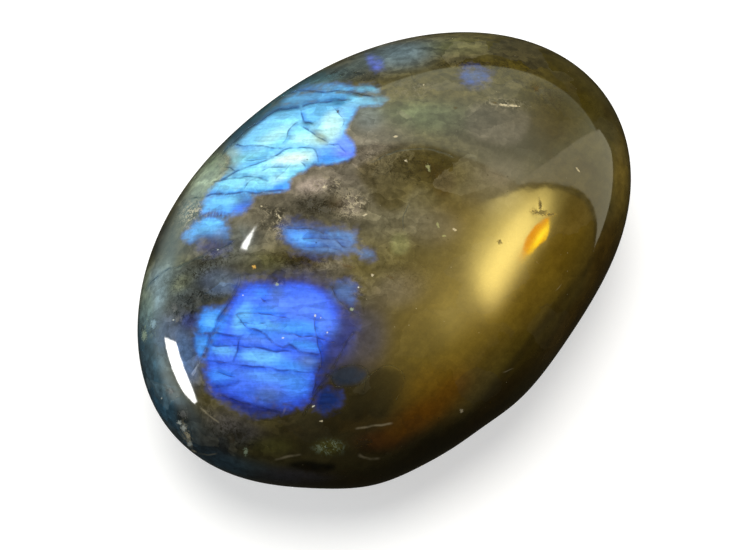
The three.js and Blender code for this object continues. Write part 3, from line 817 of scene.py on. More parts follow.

# The side that the stone lies on. Its flashes, too, are painted sheen.
REVERSE = Markings(
    flashes=(
        Patch(Pigment.COBALT, (
            (2.0, 8.4), (6.4, 10.2), (11.6, 9.8), (14.8, 7.2), (14.2, 4.0), (10.6, 2.2), (8.4, 2.6),
            (5.2, 1.4), (1.6, 3.0), (0.4, 5.8),
        ), 0.5),
        Patch(Pigment.AZURE, (
            (-15.0, -2.0), (-11.2, -0.8), (-8.0, -2.4), (-7.4, -5.6), (-9.6, -8.4), (-13.0, -9.0),
            (-16.2, -6.6),
        ), 0.5),
        Patch(Pigment.SEA, (
            (10.2, -8.6), (13.6, -6.8), (17.4, -7.6), (17.0, -10.2), (13.4, -12.0), (10.6, -11.2),
        ), 0.6, 0.8),
        Patch(Pigment.VIOLET, ((-4.2, 12.0), (-1.6, 13.0), (-0.4, 11.8), (-2.4, 10.8)), 0.6, 0.7),
    ),
    gleams=(
        Zone(Pigment.SKY, (8.6, 7.8), (3.2, 1.2), 0.8, 8),
        Zone(Pigment.PALE_CYAN, (11.6, 6.2), (1.8, 1.0), 0.7, -10),
        Zone(Pigment.ULTRAMARINE, (3.4, 4.8), (2.0, 1.6), 0.8),
        Zone(Pigment.PERIWINKLE, (6.6, 3.6), (2.4, 0.9), 0.7),
        Zone(Pigment.CYAN, (-11.4, -3.4), (2.2, 1.2), 0.8, 10),
        Zone(Pigment.ULTRAMARINE, (-13.6, -7.2), (2.0, 1.2), 0.8),
        Zone(Pigment.CYAN, (14.6, -8.6), (1.8, 0.8), 0.8, 10),
    ),
    clouds=(
        Zone(Pigment.TAUPE, (-2.0, 4.0), (7.0, 5.0), 0.6, 10),
        Zone(Pigment.UMBER, (6.0, -4.0), (7.0, 3.0), 0.7, 30),
        Zone(Pigment.DEEP_OLIVE, (16.0, 2.0), (5.0, 7.0), 0.6),
        Zone(Pigment.SLATE, (-17.0, 6.0), (4.0, 5.0), 0.7, 30),
        Zone(Pigment.TEAL_SLATE, (-22.0, -6.0), (3.0, 8.0), 0.8),
        Zone(Pigment.SMOKE, (-2.0, -12.0), (6.0, 2.6), 0.7, -10),
        Zone(Pigment.RUST, (4.0, -18.0), (6.0, 2.4), 0.7, 20),
        Zone(Pigment.MOSS, (2.0, 17.0), (7.0, 3.0), 0.6),
        Zone(Pigment.LILAC_GREY, (-9.0, 9.0), (3.4, 2.4), 0.7, 20),
        Zone(Pigment.PALE_GREEN, (18.0, 13.0), (2.6, 1.8), 0.6, -30),
    ),
    plates=(
        Patch(Pigment.DEEP_OLIVE, (
            (-6.0, 6.0), (-2.0, 8.0), (0.0, 4.0), (-3.0, 1.0), (-6.4, 2.4),
        ), 0.5, 0.6),
        Patch(Pigment.SMOKE, ((2.0, -8.0), (8.0, -6.6), (9.0, -11.0), (3.6, -12.4)), 0.4, 0.6),
    ),
    grit=(
        Zone(Pigment.CREAM, (-8.0, 6.0), (3.0, 2.0), 0.9, 20),
        Zone(Pigment.BLACK, (4.0, -9.0), (3.0, 1.4), 1.0, -20),
        Zone(Pigment.PEAT, (-14.0, 2.0), (5.0, 2.0), 0.8, 10),
    ),
    cracks=(
        Crack(((0.6, 5.2), (4.0, 6.2), (8.6, 6.0), (14.4, 5.2)), 0.24),
        Crack(((2.6, 8.6), (5.0, 6.4), (6.2, 3.6), (5.4, 1.2)), 0.18),
        Crack(((9.2, 10.4), (9.8, 7.6), (11.4, 4.4), (10.8, 2.0)), 0.18),
        Crack(((1.4, 3.6), (5.6, 4.6), (10.0, 3.8)), 0.14),
        Crack(((-15.6, -4.4), (-12.4, -4.8), (-8.0, -4.2)), 0.24),
        Crack(((-14.2, -1.6), (-12.6, -5.2), (-13.0, -9.2)), 0.18),
        Crack(((-10.6, -0.8), (-9.8, -4.6), (-10.4, -8.4)), 0.16),
        Crack(((10.0, -9.6), (13.0, -9.0), (17.2, -8.8)), 0.2),
        Crack(((-3.0, -1.0), (1.0, -3.0), (3.4, -7.4), (8.0, -10.0)), 0.28),
        Crack(((-19.0, 2.0), (-14.4, 4.0), (-9.6, 3.6), (-5.2, 6.8)), 0.24),
        Crack(((-6.0, -16.0), (-1.0, -14.2), (4.6, -14.8)), 0.3, pale=True),
        Crack(((18.0, 9.6), (15.0, 12.4), (14.2, 16.0)), 0.25, pale=True),
    ),
    flecks=(
        flecks(
            Pigment.BLACK, (-3.4, 0.6, 0.5, 0.3, 20), (5.6, -9.2, 0.7, 0.3, -30), (-16.0, 0.8, 0.4, 0.3),
        )
        + flecks(Pigment.UMBER, (1.8, 13.6, 0.6, 0.3, 10))
        + flecks(Pigment.CREAM, (-6.2, 8.6, 0.3, 0.15, 30), (12.6, -2.4, 0.2, 0.2))
        + flecks(Pigment.CHALK, (-10.8, -11.4, 0.3, 0.15, -20), (8.8, 14.0, 0.2, 0.15, 40))
        + flecks(Pigment.GOLD, (-1.2, -6.2, 0.2, 0.16))
    ),
    pits=(
        Pit((5.6, -9.2), 1.2, 0.1),
        Pit((-16.0, 0.8), 1.0, 0.08),
    ),
)

SIDES = {Side.FACE: FACE, Side.REVERSE: REVERSE}


@dataclass(frozen=True)
class LayerPlane:
    """The plane of the crystal's thin layers. The flashes show to an eye that looks square at it."""

    azimuth: float = -45.43
    elevation: float = 62.0
    centre: Vector = Vector((0, 0, 0.011))

    def axes(self) -> Matrix:
        """Give the plane's own axes.

        Returns:
            To the right, up, and out towards the eye, as rows.
        """
        turn, rise = math.radians(self.azimuth), math.radians(self.elevation)
        right = Vector((math.cos(turn), math.sin(turn), 0))
        out = Vector((math.sin(turn) * math.cos(rise), -math.cos(turn) * math.cos(rise), math.sin(rise)))
        return Matrix((right, out.cross(right), out))

    def places(self, points: np.ndarray) -> np.ndarray:
        """Turn points of the stone into the plane's own millimetres.

        Args:
            points: Rows of x, y and z in metres.

        Returns:
            Rows of u and v.
        """
        offsets = points - np.array(self.centre)
        return (offsets @ np.array(self.axes()).T / MILLIMETRE)[:, :2]

    def facing(self, normals: np.ndarray) -> np.ndarray:
        """Say how far normals turn to the eye, from 1 to -1.

        Args:
            normals: Rows of unit vectors.

        Returns:
            One number for each.
        """
        return normals @ np.array(self.axes()[2])


def rounded(points: tuple[Place, ...], closed: bool, steps: int) -> np.ndarray:
    """Draw a smooth line through points.

    Args:
        points: The points, in order.
        closed: Whether the last point joins the first.
        steps: How many short pieces there are from each point to the next.

    Returns:
        Rows of u and v.
    """
    knots = np.array(points)
    if closed:
        before, after, later = (np.roll(knots, shift, axis=0) for shift in (1, -1, -2))
    else:
        before = np.vstack((knots[:1], knots[:-1]))
        after = np.vstack((knots[1:], knots[-1:]))
        later = np.vstack((knots[2:], knots[-1:], knots[-1:]))
    stretches = len(knots) if closed else len(knots) - 1
    drawn = []
    for i in range(stretches):
        for t in np.arange(steps) / steps:
            slope_in = (after[i] - before[i]) / 2
            slope_out = (later[i] - knots[i]) / 2
            ease = t * t * (3 - 2 * t)
            bend_in = t * (1 - t) ** 2
            bend_out = t * t * (t - 1)
            drawn.append(knots[i] * (1 - ease) + after[i] * ease + slope_in * bend_in + slope_out * bend_out)
    if not closed:
        drawn.append(knots[-1])
    return np.array(drawn)


def depth_inside(places: np.ndarray, outline: np.ndarray) -> np.ndarray:
    """Measure how deep places lie inside a closed outline.

    Args:
        places: Rows of u and v.
        outline: Rows of u and v, in order.

    Returns:
        Millimetres to the outline, below 0 for a place outside it.
    """
    nearest = np.full(len(places), np.inf)
    inside = np.zeros(len(places), dtype=bool)
    for start, end in zip(outline, np.roll(outline, -1, axis=0)):
        edge = end - start
        offset = places - start
        along = np.clip(offset @ edge / (edge @ edge), 0, 1)
        nearest = np.minimum(nearest, np.square(offset - along[:, None] * edge).sum(axis=1))
        spans = (start[1] > places[:, 1]) != (end[1] > places[:, 1])
        rise = edge[1] if edge[1] else 1.0
        crossing = start[0] + (places[:, 1] - start[1]) * edge[0] / rise
        inside ^= spans & (places[:, 0] < crossing)
    return np.sqrt(nearest) * np.where(inside, 1, -1)


def along_and_across(offset: np.ndarray, cosine: Any, sine: Any) -> tuple[np.ndarray, np.ndarray]:
    """Measure offsets along a turned mark and across it.

    Args:
        offset: Rows of u and v from the mark's middle.
        cosine: The cosine of the mark's turn, or one for each row.
        sine: The sine of its turn, likewise.

    Returns:
        The two distances of each row.
    """
    along = offset[:, 0] * cosine + offset[:, 1] * sine
    across = offset[:, 1] * cosine - offset[:, 0] * sine
    return along, across


def cloud_cover(zone: Zone, places: np.ndarray) -> np.ndarray:
    """Say how far a cloud of colour covers places.

    Args:
        zone: The cloud.
        places: Rows of u and v.

    Returns:
        From 0 to the cloud's strength.
    """
    turn = math.radians(zone.turn)
    along, across = along_and_across(places - np.array(zone.middle), math.cos(turn), math.sin(turn))
    distance = (along / zone.reach[0])**2 + (across / zone.reach[1])**2
    return zone.strength * np.exp(-(CLOUD_WIDTH * distance) ** (CLOUD_FALL * zone.firmness))


class PebblePattern:
    """The markings of both sides, written on the stone's mesh for its material to read."""

    BODY = "body_colour"
    FLASH_COLOUR = "flash_colour"
    FLASH_DEPTH = "flash_depth"
    FLASH_STRENGTH = "flash_strength"
    GRIT = "grit"
    CRACKS = ("crack_near", "crack_next")
    FLECK = "fleck"
    FLECK_COLOUR = "fleck_colour"

    # How far the surface turns to the eye where a side's markings begin, and where they are full.
    FADES = {Side.FACE: (-0.3, -0.1), Side.REVERSE: (0.1, -0.1)}
    TURNED_AWAY = -0.15

    # Where a patch begins and where it is full, as shares of its soft edge in from its outline.
    PLATE_EDGE = (-1.0, 1.0)
    FLASH_EDGE = (-2.0, 0.6)
    EDGES_AROUND = 6
    FAR_OFF = 9.0
    OUTLINE_STEPS = 3
    CRACK_STEPS = 4

    def __init__(self, mesh: bpy.types.Mesh, plane: LayerPlane) -> None:
        """Read the mesh.

        Args:
            mesh: The stone's final mesh.
            plane: The plane in which the markings lie.
        """
        self.mesh = mesh
        points, normals = read_vertices(mesh)
        self.places = plane.places(points)
        facing = plane.facing(normals)
        self.shares = {side: smooth_step(facing, *fade) for side, fade in self.FADES.items()}
        corner_vertex = np.empty(len(mesh.loops), dtype=int)
        mesh.loops.foreach_get("vertex_index", corner_vertex)
        counts = np.empty(len(mesh.polygons), dtype=int)
        mesh.polygons.foreach_get("loop_total", counts)
        self.corner_face = np.repeat(np.arange(len(counts)), counts)
        self.corner_places = self.places[corner_vertex]
        self.face_places = np.stack(
            [np.bincount(self.corner_face, self.corner_places[:, i]) / counts for i in (0, 1)], axis=1)
        self.face_facing = np.bincount(self.corner_face, facing[corner_vertex]) / counts

    def paint(self, sides: dict[Side, Markings]) -> None:
        """Write all attributes.

        Args:
            sides: The markings of each side.
        """
        self._paint_body(sides)
        self._paint_flashes(sides)
        self._draw_cracks(sides)
        self._set_flecks(sides)

    def _store(self, name: str, kind: str, domain: str, values: np.ndarray) -> None:
        """Keep values as an attribute of the mesh.

        Args:
            name: The attribute's name.
            kind: Its type: FLOAT, FLOAT_VECTOR or FLOAT_COLOR.
            domain: What it belongs to: POINT or CORNER.
            values: One row for each.
        """
        attribute = self.mesh.attributes.new(name, kind, domain)
        field = {"FLOAT": "value", "FLOAT_VECTOR": "vector", "FLOAT_COLOR": "color"}[kind]
        attribute.data.foreach_set(field, values.astype(np.float32).ravel())

    def _cover(self, colours: np.ndarray, pigment: Pigment, share: np.ndarray) -> np.ndarray:
        """Lay a pigment over colours by a share for each."""
        return colours + (np.array(pigment.colour()) - colours) * share[:, None]

    def _lay_clouds(self, colours: np.ndarray, zones: tuple[Zone, ...], side: Side) -> np.ndarray:
        """Lay clouds of colour over the colours of all vertices.

        Args:
            colours: The colours so far.
            zones: The clouds, from the lowest to the topmost.
            side: The side on which they show.

        Returns:
            The new colours.
        """
        for zone in zones:
            colours = self._cover(colours, zone.pigment, cloud_cover(zone, self.places) * self.shares[side])
        return colours

    def _depth(self, patch: Patch, side: Side) -> tuple[np.ndarray, np.ndarray]:
        """Measure the depth of vertices inside a patch, as a share of its soft edge.

        Args:
            patch: The patch.
            side: The side on which it shows.

        Returns:
            Which vertices lie near the patch, and the depth of each of them.
        """
        outline = rounded(patch.outline, closed=True, steps=self.OUTLINE_STEPS)
        margin = self.EDGES_AROUND * patch.softness + 1
        near = np.all((self.places > outline.min(axis=0) - margin)
                      & (self.places < outline.max(axis=0) + margin), axis=1)
        near &= self.shares[side] > 0
        inside = depth_inside(self.places[near], outline) / patch.softness
        return near, inside - self.FAR_OFF * (1 - self.shares[side][near])

    def _paint_body(self, sides: dict[Side, Markings]) -> None:
        """Write the colour of the smoky crystal between the flashes, and its grit.

        Args:
            sides: The markings of each side.
        """
        colours = np.tile(np.array(Pigment.OLIVE.colour()), (len(self.places), 1))
        grit = np.zeros((len(self.places), 4))
        for side, markings in sides.items():
            colours = self._lay_clouds(colours, markings.clouds, side)
            for plate in markings.plates:
                near, inside = self._depth(plate, side)
                cover = smooth_step(inside, *self.PLATE_EDGE) * plate.strength
                colours[near] = self._cover(colours[near], plate.pigment, cover)
            grit = self._lay_clouds(grit, markings.grit, side)
        self._store(self.BODY, "FLOAT_COLOR", "POINT", colours)
        self._store(self.GRIT, "FLOAT_COLOR", "POINT", grit)

    def _paint_flashes(self, sides: dict[Side, Markings]) -> None:
        """Write each vertex's depth inside the nearest flash, the flash's strength and the colour of its
        painted sheen.

        Args:
            sides: The markings of each side.
        """
        count = len(self.places)
        depth = np.full(count, -self.FAR_OFF)
        strength = np.zeros(count)
        colours = np.tile(np.array(Pigment.COBALT.colour()), (count, 1))
        for side, markings in sides.items():
            for flash in markings.flashes:
                near, inside = self._depth(flash, side)
                cover = smooth_step(inside, *self.FLASH_EDGE)
                colours[near] = self._cover(colours[near], flash.pigment, cover)
                strength[near] += (flash.strength - strength[near]) * cover
                depth[near] = np.maximum(depth[near], inside)
            colours = self._lay_clouds(colours, markings.gleams, side)
        self._store(self.FLASH_DEPTH, "FLOAT", "POINT", depth)
        self._store(self.FLASH_STRENGTH, "FLOAT", "POINT", strength)
        self._store(self.FLASH_COLOUR, "FLOAT_COLOR", "POINT", colours)

    def _trace(self, crack: Crack, pieces: list[tuple[float, ...]]) -> tuple[np.ndarray, np.ndarray]:
        """Cut a crack into straight pieces, and find the piece nearest to each face.

        Args:
            crack: The crack.
            pieces: The pieces of all cracks so far, to which this one's are added. Each has its start,
                its direction, the way to its start, the crack's whole length and its width, below 0
                for a pale crack.

        Returns:
            The distance of each face from the crack, and the number of its nearest piece.
        """
        line = rounded(crack.points, closed=False, steps=self.CRACK_STEPS)
        lengths = np.linalg.norm(np.diff(line, axis=0), axis=1)
        walked = np.concatenate(([0], np.cumsum(lengths)))
        width = -crack.width if crack.pale else crack.width
        gap = np.full(len(self.face_places), np.inf)
        piece = np.zeros(len(self.face_places), dtype=int)
        for i, length in enumerate(lengths):
            along = (line[i + 1] - line[i]) / length
            offset = self.face_places - line[i]
            reach = np.clip(offset @ along, 0, length)
            distance = np.linalg.norm(offset - reach[:, None] * along, axis=1)
            closer = distance < gap
            gap[closer] = distance[closer]
            piece[closer] = len(pieces)
            pieces.append((*line[i], *along, walked[i], walked[-1], width))
        return gap, piece

    def _draw_cracks(self, sides: dict[Side, Markings]) -> None:
        """Write, for each face's two nearest cracks, the corners' places beside the crack.

        The first number is the distance from the crack's line, the second is the distance to its nearer
        end, below 0 past it, and the third is its width, below 0 for a pale crack. The distances change
        evenly across a face, so a line far finer than the faces stays sharp.

        Args:
            sides: The markings of each side.
        """
        pieces: list[tuple[float, ...]] = []
        nearest = np.full((2, len(self.face_places)), np.inf)
        chosen = np.zeros((2, len(self.face_places)), dtype=int)
        for side, markings in sides.items():
            other_side = self.face_facing * side.value < self.TURNED_AWAY
            for crack in markings.cracks:
                gap, piece = self._trace(crack, pieces)
                gap[other_side] = np.inf
                first = gap < nearest[0]
                second = ~first & (gap < nearest[1])
                nearest[1][first], chosen[1][first] = nearest[0][first], chosen[0][first]
                nearest[0][first], chosen[0][first] = gap[first], piece[first]
                nearest[1][second], chosen[1][second] = gap[second], piece[second]
        table = np.array(pieces)
        for name, picked, gap in zip(self.CRACKS, chosen, nearest):
            rows = table[picked[self.corner_face]]
            start, along = rows[:, 0:2], rows[:, 2:4]
            before, whole, width = rows[:, 4:7].T
            offset = self.corner_places - start
            beside = offset[:, 1] * along[:, 0] - offset[:, 0] * along[:, 1]
            walked = before + (offset * along).sum(axis=1)
            to_end = np.minimum(walked, whole - walked)
            beside[gap[self.corner_face] > self.FAR_OFF] = self.FAR_OFF
            self._store(name, "FLOAT_VECTOR", "CORNER", np.stack((beside, to_end, width), axis=1))

    def _set_flecks(self, sides: dict[Side, Markings]) -> None:
        """Write the corners' places round each face's nearest fleck, as shares of its half-lengths.

        Args:
            sides: The markings of each side.
        """
        count = len(self.face_places)
        nearest = np.full(count, np.inf)
        rows = np.tile(np.array((self.FAR_OFF, self.FAR_OFF, 0, 1, 1, 1, 0)), (count, 1))
        colours = np.zeros((count, 4))
        for side, markings in sides.items():
            other_side = self.face_facing * side.value < self.TURNED_AWAY
            for fleck in markings.flecks:
                turn = math.radians(fleck.turn)
                gap = np.linalg.norm(self.face_places - np.array(fleck.middle), axis=1) / max(fleck.reach)
                gap[other_side] = np.inf
                closer = (gap < nearest) & (gap < self.FAR_OFF)
                nearest[closer] = gap[closer]
                rows[closer] = (*fleck.middle, math.cos(turn), math.sin(turn), *fleck.reach, 1)
                colours[closer] = fleck.pigment.colour()
        corner_rows = rows[self.corner_face]
        cosine, sine, length, width, present = corner_rows[:, 2:7].T
        along, across = along_and_across(self.corner_places - corner_rows[:, 0:2], cosine, sine)
        along, across = along / length, across / width
        along[present == 0] = self.FAR_OFF
        self._store(self.FLECK, "FLOAT_VECTOR", "CORNER", np.stack((along, across, present), axis=1))
        self._store(self.FLECK_COLOUR, "FLOAT_COLOR", "CORNER", colours[self.corner_face])


class NodeSheet:
    """A node tree, with short calls for the nodes that the finishes use."""

    def __init__(self, tree: bpy.types.NodeTree) -> None:
        """Empty the tree."""
        self.tree = tree
        tree.nodes.clear()

    def add(self, kind: str, inputs: dict[Any, Any] | None = None, **settings: Any) -> bpy.types.Node:
        """Add a node.

        Args:
            kind: The node's type name.
            inputs: What goes into its sockets, by name or number: a socket or a value.
            settings: The node's own settings.

        Returns:
            The node.
        """
        node = self.tree.nodes.new(kind)
        for name, setting in settings.items():
            setattr(node, name, setting)
        for key, value in (inputs or {}).items():
            if isinstance(value, Socket):
                self.tree.links.new(value, node.inputs[key])
            else:
                node.inputs[key].default_value = value
        return node

    def math(self, operation: str, first: Any, second: Any = 0.0) -> Socket:
        """Give the result of a Math node on two numbers."""
        return self.add("ShaderNodeMath", {0: first, 1: second}, operation=operation).outputs[0]

    def product(self, *factors: Any) -> Socket:
        """Multiply numbers.

        Args:
            factors: The numbers, as sockets or values.

        Returns:
            The product of them all.
        """
        result = factors[0]
        for factor in factors[1:]:
            result = self.math("MULTIPLY", result, factor)
        return result

    def dot(self, first: Any, second: Any) -> Socket:
        """Give the dot product of two vectors."""
        node = self.add("ShaderNodeVectorMath", {0: first, 1: second}, operation="DOT_PRODUCT")
        return node.outputs["Value"]

    def scaled(self, vector: Any, factors: Triple) -> Socket:
        """Give a vector with each part multiplied by its own factor."""
        return self.add("ShaderNodeVectorMath", {0: vector, 1: factors}, operation="MULTIPLY").outputs[0]

    def parts(self, vector: Socket) -> tuple[Socket, Socket, Socket]:
        """Give the three parts of a vector."""
        outputs = self.add("ShaderNodeSeparateXYZ", {0: vector}).outputs
        return outputs[0], outputs[1], outputs[2]

    def step(self, value: Any, low: float, high: float, bottom: float = 0.0, top: float = 1.0) -> Socket:
        """Give a smooth rise from bottom, where value is low, to top, where it is high."""
        inputs = {"Value": value, "From Min": low, "From Max": high, "To Min": bottom, "To Max": top}
        return self.add("ShaderNodeMapRange", inputs, interpolation_type="SMOOTHSTEP").outputs["Result"]

    def swing(self, share: Any, value: Any, limits: Pair, swing: Pair) -> Socket:
        """Give a factor that swings round 1 as a value moves between its limits.

        Args:
            share: How much of the swing there is, from 0 to 1.
            value: The value that it follows.
            limits: The low and the high value.
            swing: What is added to 1 at the low value and at the high one.

        Returns:
            The factor.
        """
        return self.math("ADD", 1.0, self.product(share, self.step(value, *limits, *swing)))

    def mix(self, factor: Any, first: Any, second: Any, blend: str = "MIX") -> Socket:
        """Give two colours mixed by a factor."""
        inputs = {0: factor, 6: first, 7: second}
        return self.add("ShaderNodeMix", inputs, data_type="RGBA", blend_type=blend).outputs[2]

    def filtered(self, colour: Any, tint: Colour) -> Socket:
        """Give a colour as it looks through a tinted glass."""
        return self.mix(1.0, colour, tint, "MULTIPLY")

    def tinted(self, colour: Any, factor: Any) -> Socket:
        """Give a colour made darker or lighter by a number."""
        return self.add("ShaderNodeVectorMath", {0: colour, "Scale": factor}, operation="SCALE").outputs[0]

    def noise(self, place: Any, scale: float, detail: float = 2.0, roughness: float = 0.5) -> bpy.types.Node:
        """Add a cloudy noise, with its middle value at 0.5."""
        inputs = {"Vector": place, "Scale": scale, "Detail": detail, "Roughness": roughness}
        return self.add("ShaderNodeTexNoise", inputs)

    def cells(self, place: Any, scale: float, feature: str = "F1") -> bpy.types.Node:
        """Add a pattern of cells, each with its own random colour."""
        return self.add("ShaderNodeTexVoronoi", {"Vector": place, "Scale": scale}, feature=feature)

    def tones(self, place: Any, scale: float) -> tuple[Socket, Socket, Socket]:
        """Give three random numbers for each cell of a pattern, from 0 to 1."""
        return self.parts(self.cells(place, scale).outputs["Color"])

    def warped(self, place: Socket, scale: float, reach: float) -> Socket:
        """Push places about by a noise.

        Args:
            place: The places.
            scale: The noise's waves to the millimetre.
            reach: How far it pushes, in millimetres.

        Returns:
            The new places.
        """
        inputs = {0: self.noise(place, scale, 3.0).outputs["Color"], 1: (reach,) * 3, 2: place}
        return self.add("ShaderNodeVectorMath", inputs, operation="MULTIPLY_ADD").outputs[0]

    def attribute(self, name: str) -> bpy.types.Node:
        """Add the reader of a mesh attribute."""
        return self.add("ShaderNodeAttribute", attribute_name=name)


@dataclass(frozen=True)
class Dust:
    """Specks too fine to set one by one: their cells to the millimetre, how rare, how large, and what."""

    scale: float
    rarity: float
    size: float
    pigment: Pigment


@dataclass(frozen=True)
class SpectroliteFinish:
    """Polished spectrolite: smoky feldspar, with flashes of blue under a clear polish, their sheen painted
    as fixed colour.

    A scale is in waves or cells to the millimetre. A stretch is a scale's factors along the layers, across
    them and into the stone. A swing is how much darker and lighter a pattern makes the colour.
    """

    # The polish, and the relief of the cracks in metres.
    refraction: float = 1.56
    polish: float = 0.05
    haze: float = 0.025
    crack_dullness: float = 0.5
    relief: float = 0.00003
    relief_strength: float = 0.5
    ripple: float = 0.25
    groove: float = 0.35

    # The smoky body. It is coarse on the side of the flashes, and clear and layered on the other.
    clear_from: Pair = (-3.0, 8.0)
    coarse_left: float = 0.35
    body_warp: Pair = (0.45, 2.4)
    plate_scale: float = 0.24
    plate_stretch: Triple = (0.8, 1.3, 1.0)
    plate_swing: Pair = (-0.26, 0.28)
    chip_scale: float = 0.75
    chip_stretch: Triple = (0.7, 1.4, 1.0)
    chip_swing: Pair = (-0.2, 0.22)
    mottle_scale: float = 1.1
    mottle_swing: Pair = (-0.28, 0.3)
    grain_scale: float = 4.5
    grain_range: Pair = (0.94, 1.08)
    layer_turn: Triple = (0.0, 0.0, math.radians(50))
    layer_size: Triple = (9.0, 0.9, 3.0)
    layer_swing: Pair = (-0.1, 0.1)
    taupe_cover: float = 0.3
    umber_scale: float = 0.35
    umber_cover: float = 0.35

    # The crumbs of other crystals, and their broken outlines.
    grit_warp: Pair = (1.3, 1.5)
    grit_scale: float = 1.5
    hollow_cover: float = 0.6
    crumb_cover: float = 0.75
    rim_cover: float = 0.9

    # The flashes, whose sheen is painted as fixed colour.
    ragged_scale: float = 1.2
    ragged_stretch: Triple = (0.9, 1.3, 0.9)
    ragged_swing: Pair = (-0.6, 0.6)
    flash_edge: Pair = (-1.5, 1.3)
    edge_tint: Colour = (0.62, 0.76, 0.92, 1.0)
    edge_cover: float = 0.8
    shade_tint: Colour = (0.4, 0.52, 0.78, 1.0)
    shade_cover: float = 0.8
    streak_scale: float = 1.2
    streak_stretch: Triple = (0.25, 2.4, 0.25)
    streak_range: Pair = (0.82, 1.12)
    cloud_scale: float = 2.2
    cloud_range: Pair = (0.88, 1.1)
    flake_scale: float = 0.8
    flake_stretch: Triple = (0.6, 1.5, 1.0)
    flake_range: Pair = (0.86, 1.12)

    # The cracks, in millimetres, and the grains.
    crack_tint: Colour = (0.27, 0.35, 0.45, 1.0)
    crack_wobble: Pair = (-0.2, 0.2)
    crack_taper: Pair = (-0.1, 0.5)
    crack_shade: float = 0.9
    whole_from: Pair = (0.14, 0.2)
    healed_cover: float = 0.26
    fleck_wobble: Pair = (-0.8, 0.8)
    fleck_cover: float = 0.8
    dust_cover: float = 0.6
    dusts: tuple[Dust, ...] = (Dust(0.9, 0.86, 0.13, Pigment.PEAT), Dust(1.3, 0.93, 0.09, Pigment.CREAM))

    def material(self, plane: LayerPlane) -> bpy.types.Material:
        """Make the material.

        Args:
            plane: The plane of the crystal's layers.

        Returns:
            The material, which reads the attributes that PebblePattern writes.
        """
        material = bpy.data.materials.new("polished_spectrolite")
        material.use_nodes = True
        SpectroliteSheet(material.node_tree, self, plane).fill()
        return material


